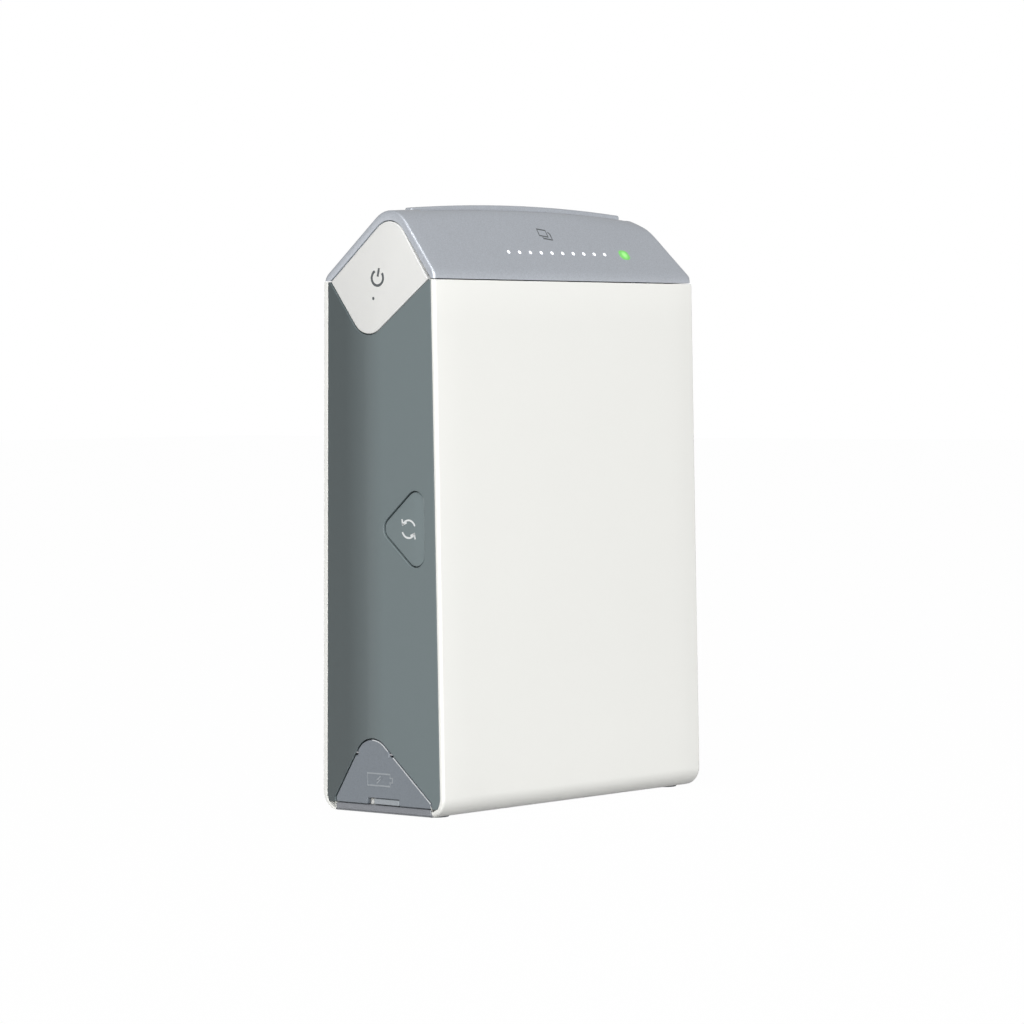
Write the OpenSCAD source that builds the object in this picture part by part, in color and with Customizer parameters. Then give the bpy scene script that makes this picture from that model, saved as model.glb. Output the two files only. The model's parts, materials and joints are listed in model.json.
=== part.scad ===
// Compact photo printer for instant film: an upright white case under a silver pitched roof.
// The finished print leaves through the slot along the ridge. Millimetres, +Z up.
// The origin is on the ground below the middle of the printer, with its film door included.

/* [Body] */
// Space between the inner frame and the shell on each side
side_room = 6.45; // [6.2:0.05:9]
// Depth of the body at its foot, without the film door
body_d = 35.2; // [35:0.1:40]
// How far the film door stands out behind the body's foot
door_proud = 4.8; // [4.4:0.1:8]
// Height of the seam between the body and the roof
seam_h = 115.4; // [115:0.1:125]
// How far the front and the back lean in between the ground and the seam
lean = 1.6; // [0.8:0.1:1.8]
// Rounding from the front and the back into the underside
foot_r = 4.2; // [4:0.1:7]
// Space between the ground and the underside
ground_gap = 0.3; // [0.2:0.1:0.8]
// Wall of the two shells
wall = 1.8; // [1.4:0.1:2]
// Wall of the shells behind the side panels
side_wall = 1.6; // [1.2:0.1:1.8]
// Width of the shells' edge beside a side panel
edge_lip = 1.1; // [0.8:0.1:1.6]
// Thickness of a side panel
panel_t = 1.5; // [1.3:0.1:1.7]
// Open line between two outside pieces
fit_gap = 0.2; // [0.15:0.05:0.3]
// Open line between the roof and the body
seam_gap = 0.3; // [0.2:0.05:0.4]

/* [Roof] */
// Half depth at which the two slopes would meet the seam
roof_foot = 17.2; // [16.8:0.1:18]
// How far the ridge lies in front of the body's middle
ridge_shift = 4.1; // [3:0.1:5]
// Height of the sharp ridge above the seam
ridge_h = 17.7; // [17:0.1:20]
// Rounding of the ridge
ridge_r = 2.2; // [1:0.1:3]
// Rounding between each slope and the wall below it
eave_r = 3; // [1:0.5:4]
// Height of the crowned ridge above the seam, at its middle
crown_h = 16.2; // [15.4:0.1:16.4]
// Radius of the crown along the ridge
crown_r = 500; // [400:10:900]
// How far the right end leans in between its foot and the ridge
end_lean = 7.4; // [0:0.2:7.6]
// Wall of the roof
roof_wall = 1.8; // [1.4:0.1:2]
// Depth of the skirt that reaches down inside the shells
skirt_h = 2; // [1:0.1:3]
// Thickness of the skirt
skirt_t = 1; // [0.8:0.1:1.4]

/* [Exit slot] */
// How far the slot along the ridge reaches past the inner frame at each end
slot_reach = 0.6; // [0:0.1:0.8]
// Width of the slot
slot_w = 2.8; // [2:0.1:3.2]
// How far the slot's middle lies in front of the body's middle
slot_shift = 3.2; // [2.8:0.1:3.6]
// Thickness of the raised bar behind the slot
lip_t = 2.2; // [1.5:0.1:2.8]
// How far the bar stands above the ridge at its middle
lip_rise = 1; // [0.5:0.1:1.5]
// Depth of the bar below the top of the ridge
lip_depth = 4.3; // [4:0.1:5]

/* [Power button] */
// Half depth of the four-cornered button, at the seam
power_half = 14.05; // [12:0.05:14.2]
// Rise of its sharp upper corner above the seam
power_up = 15.1; // [12:0.1:15.2]
// Drop of its sharp lower corner below the seam
power_down = 13.4; // [11:0.1:16]
// How far the upper corner leans forward and the lower one back
power_skew = 4.1; // [3:0.1:5]
// Rounding of the upper and lower corners
power_r = 5; // [3:0.5:6]
// Thickness of the button
power_t = 1.85; // [1.85:0.05:2.1]
// Width and thickness of the rim that keeps the buttons in
key_rim = 0.8; // [0.6:0.1:1]
// Travel of the two buttons
key_travel = 0.6; // [0.3:0.1:0.8]
// Radius of the light pipe in the power button
pilot_r = 0.4; // [0.3:0.05:0.6]

/* [Reprint button] */
// Height of its middle above the ground
reprint_z = 62; // [56:1:66]
// Distance of its upright edge in front of the body's middle
reprint_edge = 12.4; // [11.5:0.1:12.8]
// Depth from the upright edge to the sharp corner behind it
reprint_d = 12.7; // [10:0.1:14]
// Height of the upright edge between its sharp corners
reprint_h = 22; // [16:0.5:26]
// Rounding of its corners
reprint_r = 2.5; // [1.5:0.1:3]
// How far its face lies below the panel's
reprint_sunk = 0.3; // [0.1:0.05:0.5]

/* [Charging flap] */
// Half depth of the flap at its lower edge
flap_half = 13.85; // [13:0.05:13.9]
// Height of its sharp upper corner above the ground
flap_top = 18.9; // [18.6:0.1:22]
// How far that corner lies behind the body's middle
flap_skew = 4.1; // [3:0.1:4.5]
// Height of the short upright edges at its lower corners
flap_cheek = 1.2; // [0.8:0.1:2]
// Rounding of the upper corner
flap_r = 5.1; // [4.5:0.1:5.6]
// Distance of the hinge below the rounded top of the flap
flap_hinge_drop = 3; // [2.8:0.1:3.3]
// Depth of the hinge behind the flap's face
flap_axis = 0.55; // [0.55:0.05:0.7]
// Radius of the flap's hinge pin
flap_pin_r = 0.3; // [0.2:0.05:0.3]
// Half length of the notch for the lock
lock_half = 4.6; // [4:0.1:6]
// Height of the notch for the lock
lock_h = 1.4; // [1:0.1:1.6]
// Travel of the lock
lock_travel = 1.8; // [1:0.1:2.4]

/* [Lights] */
// Lights in the row that counts the remaining sheets
led_count = 10; // [4:1:10]
// Distance between two lights
led_pitch = 3.7; // [3:0.1:4]
// Radius of each light
led_r = 0.55; // [0.4:0.05:0.7]
// Height of the row above the seam
led_rise = 6.4; // [6:0.1:7]
// Distance of the status light from the middle
status_x = 24.2; // [21:0.1:27]
// Radius of the status light
status_r = 1.6; // [1:0.1:2]

/* [Film door] */
// How far the film door reaches past the loading opening on each side
door_rim = 1.9; // [1.6:0.1:4]
// Distance between the door's upper edge and the seam
door_drop = 3; // [2.6:0.1:5]
// Wall of the door
door_wall = 1.8; // [1.5:0.1:2.4]
// Rounding of the door's corners, seen from behind
door_corner = 5; // [3:0.5:8]
// Rounding of the door's upper edge, seen from the side
door_edge = 2.5; // [1:0.5:3]
// Height of the door's hinge above the ground
hinge_z = 9; // [8.5:0.5:10]
// Radius of the hinge barrel
hinge_r = 2.2; // [2:0.1:2.3]
// Radius of the hinge pins
hinge_pin_r = 0.9; // [0.6:0.1:1.2]
// Width of the hinge lugs on the shell
lug_w = 4.2; // [3:0.1:5]
// How far the loading opening reaches past the inner frame on each side
mouth_room = 0.4; // [0.2:0.1:1]

/* [Film] */
// Width of the film pack
pack_w = 66; // [64:0.5:66]
// Height of the film pack
pack_h = 94; // [90:0.5:95]
// Thickness of the film pack
pack_t = 15.5; // [14:0.1:15.8]
// Width of a sheet
film_w = 54; // [50:0.5:55]
// Height of a sheet
film_h = 86; // [80:0.5:87]
// Sheets in the pack
film_count = 10; // [1:1:12]
// Distance between two sheets
film_pitch = 0.5; // [0.4:0.05:0.6]

/* [Rollers and gears] */
// Radius of both rollers
roller_r = 2.9; // [2.6:0.05:2.95]
// Space between each end of the rollers and the frame
roller_room = 2.4; // [1:0.1:5]
// Radius of the roller shafts
shaft_r = 1; // [0.8:0.05:1.2]
// Radius of the roller bushes
bush_r = 2.2; // [1.8:0.1:2.4]
// Running clearance between a shaft and its hole
run_gap = 0.05; // [0.03:0.01:0.08]
// Gear module
gear_m = 0.5; // [0.5:0.01:0.52]
// Thickness of each gear
gear_t = 1.7; // [1.2:0.1:1.8]
// Radius of the gear pins
gear_pin_r = 0.75; // [0.5:0.05:0.9]
// Radius of the drive motor
motor_r = 3.6; // [3:0.1:3.8]
// Length of the drive motor
motor_len = 20; // [14:0.5:22]
// Radius of the motor's shaft
motor_shaft_r = 0.5; // [0.4:0.05:0.6]

/* [Frame] */
// Wall of the inner frame
frame_t = 1.8; // [1.8:0.1:2]
// Travel of the claw that lifts a sheet out of the pack
claw_travel = 7; // [4:0.5:8]

/* [Base] */
// Thickness of the base plate
base_t = 1.7; // [1.4:0.1:2]
// Half depth of the base plate
base_half = 13.9; // [13.9:0.05:14.2]
// Radius of the rubber feet, which hide the case screws
pad_r = 2.6; // [2:0.1:2.7]
// How far the feet sink into the base plate
pad_sink = 0.4; // [0.2:0.1:0.6]
// Half distance between the front and rear feet
pad_half = 11.1; // [11:0.1:11.2]
// Radius of the case screws
screw_r = 0.95; // [0.8:0.05:1.1]
// Radius of their heads
head_r = 1.8; // [1.6:0.1:1.9]
// Radius of the posts that the case screws hold in
boss_r = 2.4; // [2:0.1:2.5]

/* [Hidden] */
$fn = 48;

// Sides of the inner frame, and places of the body's faces
frame_clear = 0.4;
frame_in = pack_w / 2 + frame_clear;
frame_x = frame_in + frame_t;
half_w = frame_x + side_room + side_wall + panel_t;
front_y = -(body_d + door_proud) / 2;
mid_y = front_y + body_d / 2;
rear_y = front_y + body_d;
back_y = rear_y + door_proud;
base_top = ground_gap + base_t;
skin_x = half_w - panel_t;
inner_x = skin_x - side_wall;
far = 200;
arc_steps = 12;

// Slopes of the roof, and where the film leaves it
front_slope = ridge_h / (roof_foot - ridge_shift);
rear_slope = ridge_h / (roof_foot + ridge_shift);
slope_angle = atan(front_slope);
exit_y = mid_y - slot_shift;
slot_half = frame_x + slot_reach;
lip_y = exit_y + slot_w / 2;
led_y = mid_y - roof_foot + led_rise / front_slope;

// The film's way: the pack at the bottom, then the exposure head, the rollers and the guide
frame_z = base_top + 1;
pack_front = exit_y - 0.9;
pack_z = frame_z + frame_t + frame_clear;
frame_front = pack_front - 0.2 - frame_t;
frame_back = pack_front + pack_t + 2.5;
roller_z = seam_h - 0.4;
nip_half = gear_m * 6;
drive_y = exit_y - nip_half;
pinch_y = exit_y + nip_half;
head_z = roller_z - 13.5;
head_h = 9;
head_front = drive_y - 7.4;
head_back = drive_y - 0.6;
ear_top = roller_z + 6;
ear_front = drive_y - 3.9;
ear_back = pinch_y + 3.6;
guide_t = 1.4;
guide_z = roller_z + roller_r + 0.7;
guide_front = exit_y - slot_w / 2 - guide_t;
guide_back = exit_y + slot_w / 2 + guide_t;
guide_top = min(roof_at_front(guide_front), roof_at_rear(guide_back)) - 0.3;

// The gear train stands outside the frame's right wall, in two layers
drive_teeth = 12;
idler_teeth = 18;
small_teeth = 10;
large_teeth = 26;
plate_t = 0.8;
plate_x = frame_x + plate_t;
layer_a = plate_x + 0.4;
layer_b = layer_a + gear_t + 0.5;
idler_z = roller_z - mesh_distance(drive_teeth, idler_teeth);
reduction_z = idler_z - mesh_distance(idler_teeth, small_teeth);
motor_y = frame_front - motor_r - 0.3;
motor_side = drive_y - motor_y;
motor_z = reduction_z
    - sqrt(pow(mesh_distance(large_teeth, small_teeth), 2) - pow(motor_side, 2));
motor_x = frame_x - 3 - motor_len;
plate_low = motor_z - 5;
pinch_phase = mesh_phase(0, drive_teeth, 0, drive_teeth);
idler_phase = mesh_phase(0, drive_teeth, -90, idler_teeth);
small_phase = mesh_phase(idler_phase, idler_teeth, -90, small_teeth);
motor_angle = atan2(motor_z - reduction_z, motor_y - drive_y);
pinion_phase = mesh_phase(0, large_teeth, motor_angle, small_teeth);

// The claw beside the pack
claw_y = pack_front + 1.4;
claw_low = pack_z + 2.8;
claw_pins = [pack_z + 25, pack_z + 62];
claw_top = plate_low - claw_travel - 0.5;

// Boards, and the switches behind the two buttons
board_t = 1;
board_y = frame_front - 0.9 - board_t;
cell_w = 32;
cell_h = 40;
cell_t = 6;
cell_low = pack_z + 2.6;
board_low = cell_low + cell_h + 2.4;
board_high = motor_z - motor_r - 0.8;
board_half = 31;
side_board_x = frame_x + 2.6;
side_board_low = reprint_z - 5;
switch_t = 1.8;
plunger_t = 0.5;
plunger_x = side_board_x + board_t + switch_t + plunger_t;
stem_x = plunger_x + key_travel + 0.05;
stem_r = 2;
power_y = mid_y + 0.4;
power_z = seam_h;
reprint_y = mid_y - reprint_edge + reprint_d * 0.36;

// The charging port behind the flap
flap_low = base_top + fit_gap / 2;
flap_apex = mid_y + flap_skew;
flap_peak = corner_point(flap_outline(), 3, flap_r)[1] + flap_r;
flap_hinge_x = -half_w + flap_axis;
flap_hinge_z = flap_peak - flap_hinge_drop;
flap_mid = flap_apex - 1.35;
flap_pin_half = 6.6;
flap_rise = flap_top - flap_low - flap_cheek;
port_y = mid_y + 2.4;
port_half = 5.6;
port_low = flap_low + lock_h + 0.6;
port_high = flap_hinge_z - 1.9;
port_wall = 0.5;
port_depth = 4.6;
port_x = -skin_x + port_depth;
usb_half = 3.75;
usb_h = 2.6;
usb_len = 5;
usb_z = (port_low + port_high) / 2 - usb_h / 2;

// The film door and its hinge
mouth_half = frame_x + mouth_room;
door_half = mouth_half + door_rim;
door_top = seam_h - door_drop;
hinge_y = back_y - hinge_r - 0.4;
lug_in = door_half - lug_w;
lug_gap = 0.25;
door_gap = 0.15;
mouth_low = hinge_z + hinge_r + 1.3;
mouth_high = door_top - 2;
pocket_half = mouth_half - 0.8;
window_half = 8;
window_z = door_top - 24;
window_h = 5;
latch_half = 6;
latch_h = 6;
latch_z = door_top - 12;
latch_depth = 1;
latch_travel = 2.5;

// Places of the screws and feet
pad_top = ground_gap + pad_sink;
boss_h = 9;
boss_x = inner_x - boss_r + 0.4;
post_r = 2.5;
post_pilot = 0.8;
posts = [[-30, pack_z + 15], [30, pack_z + 15], [-30, motor_z + 2], [30, pack_z + 40]];

// Places of the front and back faces at a height
function front_at(z) = front_y + lean * z / seam_h;
function rear_at(z) = rear_y - lean * z / seam_h;

// Height of the roof's inside at a depth, below either slope
function roof_at_front(y) = seam_h + (y - mid_y + roof_foot) * front_slope
    - roof_wall * norm([1, front_slope]);
function roof_at_rear(y) = seam_h + (mid_y + roof_foot - y) * rear_slope
    - roof_wall * norm([1, rear_slope]);

// The flap's front or rear edge at a height, between its cheek and its rounded top
function flap_edge(side, z) =
    mid_y + side * flap_half
        + (flap_skew - side * flap_half) * (z - flap_low - flap_cheek) / flap_rise;

// Unit vector, and the point that lies r inside both edges of corner i of a convex outline
function unit(v) = v / norm(v);
function edge_to(p, i, step) = unit(p[(i + step + len(p)) % len(p)] - p[i]);
function corner_point(p, i, r) =
    let (a = edge_to(p, i, -1), b = edge_to(p, i, 1))
    p[i] + (a + b) * r / abs(a[0] * b[1] - a[1] * b[0]);
function corner_reach(p, i, r) = r / tan(acos(edge_to(p, i, -1) * edge_to(p, i, 1)) / 2);
function shrink(p, d) = [for (i = [0:len(p) - 1]) corner_point(p, i, d)];

// Distance between two meshed gears, and the angle of the second one's teeth. The first has
// a tooth at its own phase, and the second lies from it in the direction given.
function mesh_distance(a, b) = gear_m * (a + b) / 2;
function mesh_phase(phase, teeth, direction, other) =
    direction + 180 - 180 / other + (direction - phase) * teeth / other;

// Outlines, as depth and height, anticlockwise from the lower front corner
function case_outline(top) = [
    [front_at(ground_gap), ground_gap], [rear_at(ground_gap), ground_gap],
    [rear_at(top), top], [front_at(top), top]];
function eave_z(slope) =
    (seam_h + (roof_foot - body_d / 2) * slope) / (1 - slope * lean / seam_h);
function roof_outline() =
    let (low = seam_h - 5 * roof_wall)
    [[front_at(low), low], [rear_at(low), low],
        [rear_at(eave_z(rear_slope)), eave_z(rear_slope)],
        [mid_y - ridge_shift, seam_h + ridge_h],
        [front_at(eave_z(front_slope)), eave_z(front_slope)]];
function panel_outline(high) =
    let (low = ground_gap + 0.3)
    [[front_at(low) + edge_lip, low], [rear_at(low) - edge_lip, low],
        [rear_at(high) - edge_lip, high], [front_at(high) + edge_lip, high]];
function power_outline() = [
    [mid_y + power_skew, seam_h - power_down], [mid_y + power_half, seam_h],
    [mid_y - power_skew, seam_h + power_up], [mid_y - power_half, seam_h]];
function reprint_outline() =
    let (edge = mid_y - reprint_edge)
    [[edge, reprint_z - reprint_h / 2], [edge + reprint_d, reprint_z],
        [edge, reprint_z + reprint_h / 2]];
function flap_outline() = [
    [mid_y - flap_half, flap_low], [mid_y + flap_half, flap_low],
    [mid_y + flap_half, flap_low + flap_cheek], [flap_apex, flap_top],
    [mid_y - flap_half, flap_low + flap_cheek]];

// A convex anticlockwise outline with each corner rounded by its own radius
function corner_arc(p, i, r) =
    let (centre = corner_point(p, i, r),
        start = p[i] + edge_to(p, i, -1) * corner_reach(p, i, r) - centre,
        first = atan2(start[1], start[0]),
        sweep = 180 - acos(edge_to(p, i, -1) * edge_to(p, i, 1)))
    [for (k = [0:arc_steps])
        let (angle = first + sweep * k / arc_steps)
        centre + r * [cos(angle), sin(angle)]];
module rounded(p, r)
{
    polygon([for (i = [0:len(p) - 1]) each r[i] > 0 ? corner_arc(p, i, r[i]) : [p[i]]]);
}

// A depth-height outline carried along X, a width-height outline along Y, and a box
module along_x(x0, x1)
{
    translate([x0, 0, 0])
        rotate([90, 0, 90])
            linear_extrude(x1 - x0)
                children();
}
module along_y(y0, y1)
{
    translate([0, y1, 0])
        rotate([90, 0, 0])
            linear_extrude(y1 - y0)
                children();
}
module block(low, high)
{
    translate(low)
        cube(high - low);
}
module round_block(half, low, high, r)
{
    rounded([[-half, low], [half, low], [half, high], [-half, high]], [r, r, r, r]);
}
module rod_x(x0, x1, y, z, r)
{
    translate([x0, y, z])
        rotate([0, 90, 0])
            cylinder(h = x1 - x0, r = r);
}
module rod_y(y0, y1, x, z, r)
{
    translate([x, y0, z])
        rotate([-90, 0, 0])
            cylinder(h = y1 - y0, r = r);
}
module both_sides()
{
    children();
    mirror([1, 0, 0])
        children();
}

// The body's side view, drawn in by d
module case_shape(top, d)
{
    rounded(shrink(case_outline(top), d), [foot_r - d, foot_r - d, 0, 0]);
}
// The roof's side view, drawn in by d
module roof_shape(d)
{
    eave = max(eave_r - d, 0.3);
    rounded(shrink(roof_outline(), d), [0, 0, eave, max(ridge_r - d, 0.3), eave]);
}
// The roof's front view, drawn in by d: its right end leans in
module end_shape(d)
{
    foot = seam_h + 1.6;
    top = seam_h + ridge_h;
    inset = end_lean * (top - foot) / (seam_h + crown_h - foot);
    polygon(shrink([[-half_w, 0], [half_w, 0], [half_w, foot], [half_w - inset, top],
        [-half_w, top]], d));
}
// The two buttons, the flap and the panel in side view, grown by d
module power_shape(d)
{
    rounded(shrink(power_outline(), -d), [power_r + d, 0, power_r + d, 0]);
}
module reprint_shape(d)
{
    rounded(shrink(reprint_outline(), -d), [for (i = [0:2]) reprint_r + d]);
}
module flap_shape(d)
{
    rounded(shrink(flap_outline(), -d), [0, 0, 0, flap_r + d, 0]);
}
module panel_shape(d, high)
{
    corner = foot_r - edge_lip + d;
    rounded(shrink(panel_outline(high), -d), [corner, corner, 0, 0]);
}

// Everything inside an arch along the ridge whose top is at z
module crown(z, r)
{
    translate([0, far / 2, z - r])
        rotate([90, 0, 0])
            cylinder(h = far, r = r, $fn = 1440);
}

// What is cut out of both shells: the inside, the panels' beds, the base and the keys
module shell_room()
{
    along_x(-inner_x, inner_x)
        case_shape(seam_h + 2 * wall, wall);
    both_sides()
        along_x(skin_x, half_w + 1)
            panel_shape(0, seam_h + 1);
    block([-half_w - 1, mid_y - base_half, 0], [half_w + 1, mid_y + base_half, base_top]);
    block([-inner_x, mid_y - base_half, 0], [inner_x, mid_y + base_half, frame_z + 0.5]);
    along_x(-skin_x, -inner_x + 0.1)
        power_shape(key_rim + fit_gap);
    along_x(-skin_x, -inner_x + 0.1)
        reprint_shape(key_rim + fit_gap);
    along_x(-skin_x, -inner_x + 0.1)
        intersection() {
            flap_shape(fit_gap);
            translate([mid_y - body_d, flap_hinge_z - panel_t])
                square([2 * body_d, flap_hinge_drop + 2 * panel_t]);
        }
    along_x(-skin_x, -inner_x + 0.1)
        port_shape(port_wall);
}
module port_shape(d)
{
    translate([port_y - port_half - d, port_low - d])
        square([2 * (port_half + d), port_high - port_low + 2 * d]);
}
module case_solid()
{
    along_x(-half_w, half_w)
        case_shape(seam_h, 0);
}
module base_boss(y)
{
    both_sides()
        translate([boss_x, y, base_top])
            cylinder(h = boss_h, r = boss_r);
}
module base_pilot(y)
{
    both_sides()
        translate([boss_x, y, base_top - 1])
            cylinder(h = boss_h, r = screw_r);
}

module front_shell() color([0.93, 0.93, 0.91])
difference() {
    union() {
        difference() {
            case_solid();
            shell_room();
            block([-far, mid_y, -1], [far, far, far]);
        }
        base_boss(mid_y - pad_half);
        for (p = posts)
            rod_y(front_at(p[1]) + wall / 2, frame_front, p[0], p[1], post_r);
    }
    base_pilot(mid_y - pad_half);
    for (p = posts)
        rod_y(front_at(p[1]) + wall, frame_front + 1, p[0], p[1], post_pilot);
}

module rear_shell() color([0.93, 0.93, 0.91])
difference() {
    union() {
        difference() {
            case_solid();
            shell_room();
            block([-far, -far, -1], [far, mid_y, far]);
            along_y(rear_y - foot_r, rear_y + 1)
                round_block(mouth_half, mouth_low, mouth_high, 2);
        }
        base_boss(mid_y + pad_half);
        both_sides() {
            rod_x(lug_in, door_half, hinge_y, hinge_z, hinge_r);
            block([lug_in, rear_at(hinge_z) - wall / 2, hinge_z - hinge_r],
                [door_half, hinge_y, hinge_z + hinge_r]);
        }
    }
    base_pilot(mid_y + pad_half);
    both_sides()
        rod_x(lug_in - 1, door_half - 0.8, hinge_y, hinge_z, hinge_pin_r);
}

module side_panel()
{
    along_x(-half_w, -skin_x)
        difference() {
            panel_shape(-0.05, seam_h);
            translate([mid_y - base_half - 0.05, 0])
                square([2 * base_half + 0.1, base_top + 0.05]);
        }
}
module left_panel() color([0.42, 0.46, 0.47])
difference() {
    side_panel();
    along_x(-half_w - 1, 0)
        power_shape(fit_gap);
    along_x(-half_w - 1, 0)
        reprint_shape(fit_gap);
    along_x(-half_w - 1, 0)
        flap_shape(fit_gap);
    rod_y(flap_mid - flap_pin_half, flap_mid + flap_pin_half, flap_hinge_x, flap_hinge_z,
        flap_pin_r);
}
module right_panel() color([0.42, 0.46, 0.47])
mirror([1, 0, 0])
    side_panel();

// A piece placed on the front slope: its own Z points straight out of the slope
module on_slope(x)
{
    translate([x, led_y, seam_h + led_rise])
        rotate([slope_angle, 0, 0])
            children();
}
function led_x(i) = (i - (led_count - 1) / 2) * led_pitch;

module top_cap() color([0.66, 0.68, 0.70])
difference() {
    union() {
        difference() {
            intersection() {
                along_x(-half_w, half_w)
                    roof_shape(0);
                along_y(-far, far)
                    end_shape(0);
                crown(seam_h + crown_h, crown_r);
            }
            intersection() {
                along_x(-half_w, half_w)
                    roof_shape(roof_wall);
                along_y(-far, far)
                    end_shape(roof_wall);
                crown(seam_h + crown_h - roof_wall, crown_r);
            }
            block([-far, -far, 0], [far, far, seam_h + seam_gap]);
        }
        cap_skirt();
    }
    along_x(-half_w - 1, -half_w + power_t + key_rim + key_travel + fit_gap)
        power_shape(fit_gap);
    block([-slot_half, exit_y - slot_w / 2, seam_h + ridge_h / 2],
        [slot_half, lip_y + lip_t, seam_h + 2 * ridge_h]);
    for (i = [0:led_count - 1])
        on_slope(led_x(i))
            translate([0, 0, -2 * roof_wall])
                cylinder(h = 3 * roof_wall, r = led_r);
    on_slope(status_x)
        translate([0, 0, -2 * roof_wall])
            cylinder(h = 3 * roof_wall, r = status_r);
}
// The skirt hangs inside the front and back walls of the shells
module cap_skirt()
{
    half = inner_x - 3;
    top = seam_h + seam_gap + 1;
    intersection() {
        along_x(-half, half)
            difference() {
                polygon(shrink(case_outline(top + 3), wall - 0.3));
                polygon(shrink(case_outline(top + 9), wall + 0.05 + skirt_t));
                translate([-far, -far])
                    square([2 * far, far + seam_h - skirt_h]);
            }
        union() {
            block([-far, -far, seam_h + seam_gap], [far, far, top]);
            along_x(-half, half)
                polygon(shrink(case_outline(top + 3), wall + 0.05));
        }
    }
}

module exit_lip() color([0.66, 0.68, 0.70])
intersection() {
    block([-slot_half, lip_y, seam_h + crown_h - lip_depth],
        [slot_half, lip_y + lip_t, far]);
    crown(seam_h + crown_h + lip_rise, crown_r);
}

module corner_places()
{
    both_sides()
        for (side = [-1, 1])
            translate([boss_x, mid_y + side * pad_half, 0])
                children();
}
module base_plate() color([0.56, 0.59, 0.61])
difference() {
    intersection() {
        along_x(-half_w, half_w)
            case_shape(seam_h, 0);
        block([-half_w, mid_y - base_half, 0], [half_w, mid_y + base_half, base_top]);
    }
    corner_places() {
        cylinder(h = pad_top, r = pad_r);
        cylinder(h = 2 * base_top, r = screw_r);
        screw_head(head_r);
    }
}
module screw_head(r)
{
    translate([0, 0, pad_top])
        cylinder(h = (r - screw_r) * 0.9, r1 = r, r2 = screw_r);
}
module rubber_feet() color([0.45, 0.47, 0.48])
corner_places()
    cylinder(h = pad_top, r = pad_r);
module case_screws() color([0.7, 0.7, 0.72])
corner_places() {
    screw_head(head_r);
    translate([0, 0, pad_top])
        cylinder(h = boss_h - 2.5, r = screw_r);
}

module power_button() color([0.92, 0.92, 0.91])
difference() {
    union() {
        along_x(-half_w, -half_w + power_t)
            power_shape(0);
        along_x(-half_w + power_t, -half_w + power_t + key_rim)
            intersection() {
                power_shape(key_rim);
                translate([mid_y - body_d, 0])
                    square([2 * body_d, seam_h - skirt_h]);
            }
        along_x(-half_w + power_t, -half_w + power_t + key_rim)
            power_shape(0);
        rod_x(-half_w + power_t, -stem_x, power_y, power_z, stem_r);
    }
    rod_x(-half_w - 1, -half_w + power_t + 2, power_y + 1.2, power_z - 3.9, pilot_r);
}
module power_light_pipe() color([0.85, 0.85, 0.85])
rod_x(-half_w, -half_w + power_t + key_rim, power_y + 1.2, power_z - 3.9, pilot_r);
module reprint_button() color([0.45, 0.49, 0.50])
{
    along_x(-half_w + reprint_sunk, -skin_x + 0.05)
        reprint_shape(0);
    along_x(-skin_x + 0.05, -skin_x + 0.05 + key_rim)
        reprint_shape(key_rim);
    rod_x(-skin_x, -stem_x, reprint_y, reprint_z, stem_r);
}

module charge_flap() color([0.50, 0.53, 0.56])
difference() {
    along_x(-half_w, -skin_x)
        flap_shape(0);
    lock_room(0, lock_h);
    along_x(-skin_x - 0.7, 0)
        translate([mid_y - lock_half - 1, 0])
            square([2 * lock_half + 2, flap_low + lock_h + 0.8]);
    rod_y(flap_apex - body_d, flap_apex + body_d, flap_hinge_x, flap_hinge_z,
        flap_pin_r + run_gap);
    // Room at both ends of the hinge, where the flap's edge turns into the narrower opening
    high = flap_hinge_z + flap_axis;
    for (side = [-1, 1]) {
        edge = flap_edge(side, high);
        block([-half_w - 1, min(edge, edge + side * 5), flap_hinge_z - flap_axis - 0.1],
            [0, max(edge, edge + side * 5), high]);
    }
}
module lock_room(gap, height)
{
    along_x(-half_w - 1, 0)
        translate([mid_y - lock_half + gap, 0])
            square([2 * lock_half - 2 * gap, flap_low + height]);
}
module flap_lock() color([0.64, 0.66, 0.68])
{
    length = 2 * lock_half - lock_travel - 0.1;
    start = mid_y - lock_half + 0.05;
    block([-half_w + 0.15, start, flap_low + 0.1],
        [-skin_x - 0.4, start + length, flap_low + lock_h - 0.1]);
    block([-skin_x - 0.6, start - 0.5, flap_low + 0.1],
        [-skin_x - 0.1, start + length + 0.3, flap_low + lock_h + 0.6]);
}
module flap_hinge_pin() color([0.7, 0.7, 0.72])
rod_y(flap_mid - flap_pin_half, flap_mid + flap_pin_half, flap_hinge_x, flap_hinge_z,
    flap_pin_r);

module counter_lights() color([0.97, 0.97, 0.95])
for (i = [0:led_count - 1])
    on_slope(led_x(i))
        translate([0, 0, -roof_wall - 0.8])
            cylinder(h = roof_wall + 0.8, r = led_r);
module status_light() color([0.45, 0.85, 0.35])
on_slope(status_x)
    translate([0, 0, -roof_wall - 0.8])
        cylinder(h = roof_wall + 0.8, r = status_r);
module led_board() color([0.1, 0.32, 0.2])
on_slope(0)
    block([led_x(0) - 5, -3, -roof_wall - 1.6 - board_t],
        [status_x + 4, 3, -roof_wall - 1.6]);
module led_chips() color([0.9, 0.88, 0.7])
for (x = [for (i = [0:led_count - 1]) led_x(i), status_x])
    on_slope(x)
        block([-0.8, -0.5, -roof_wall - 1.6], [0.8, 0.5, -roof_wall - 0.9]);

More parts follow.
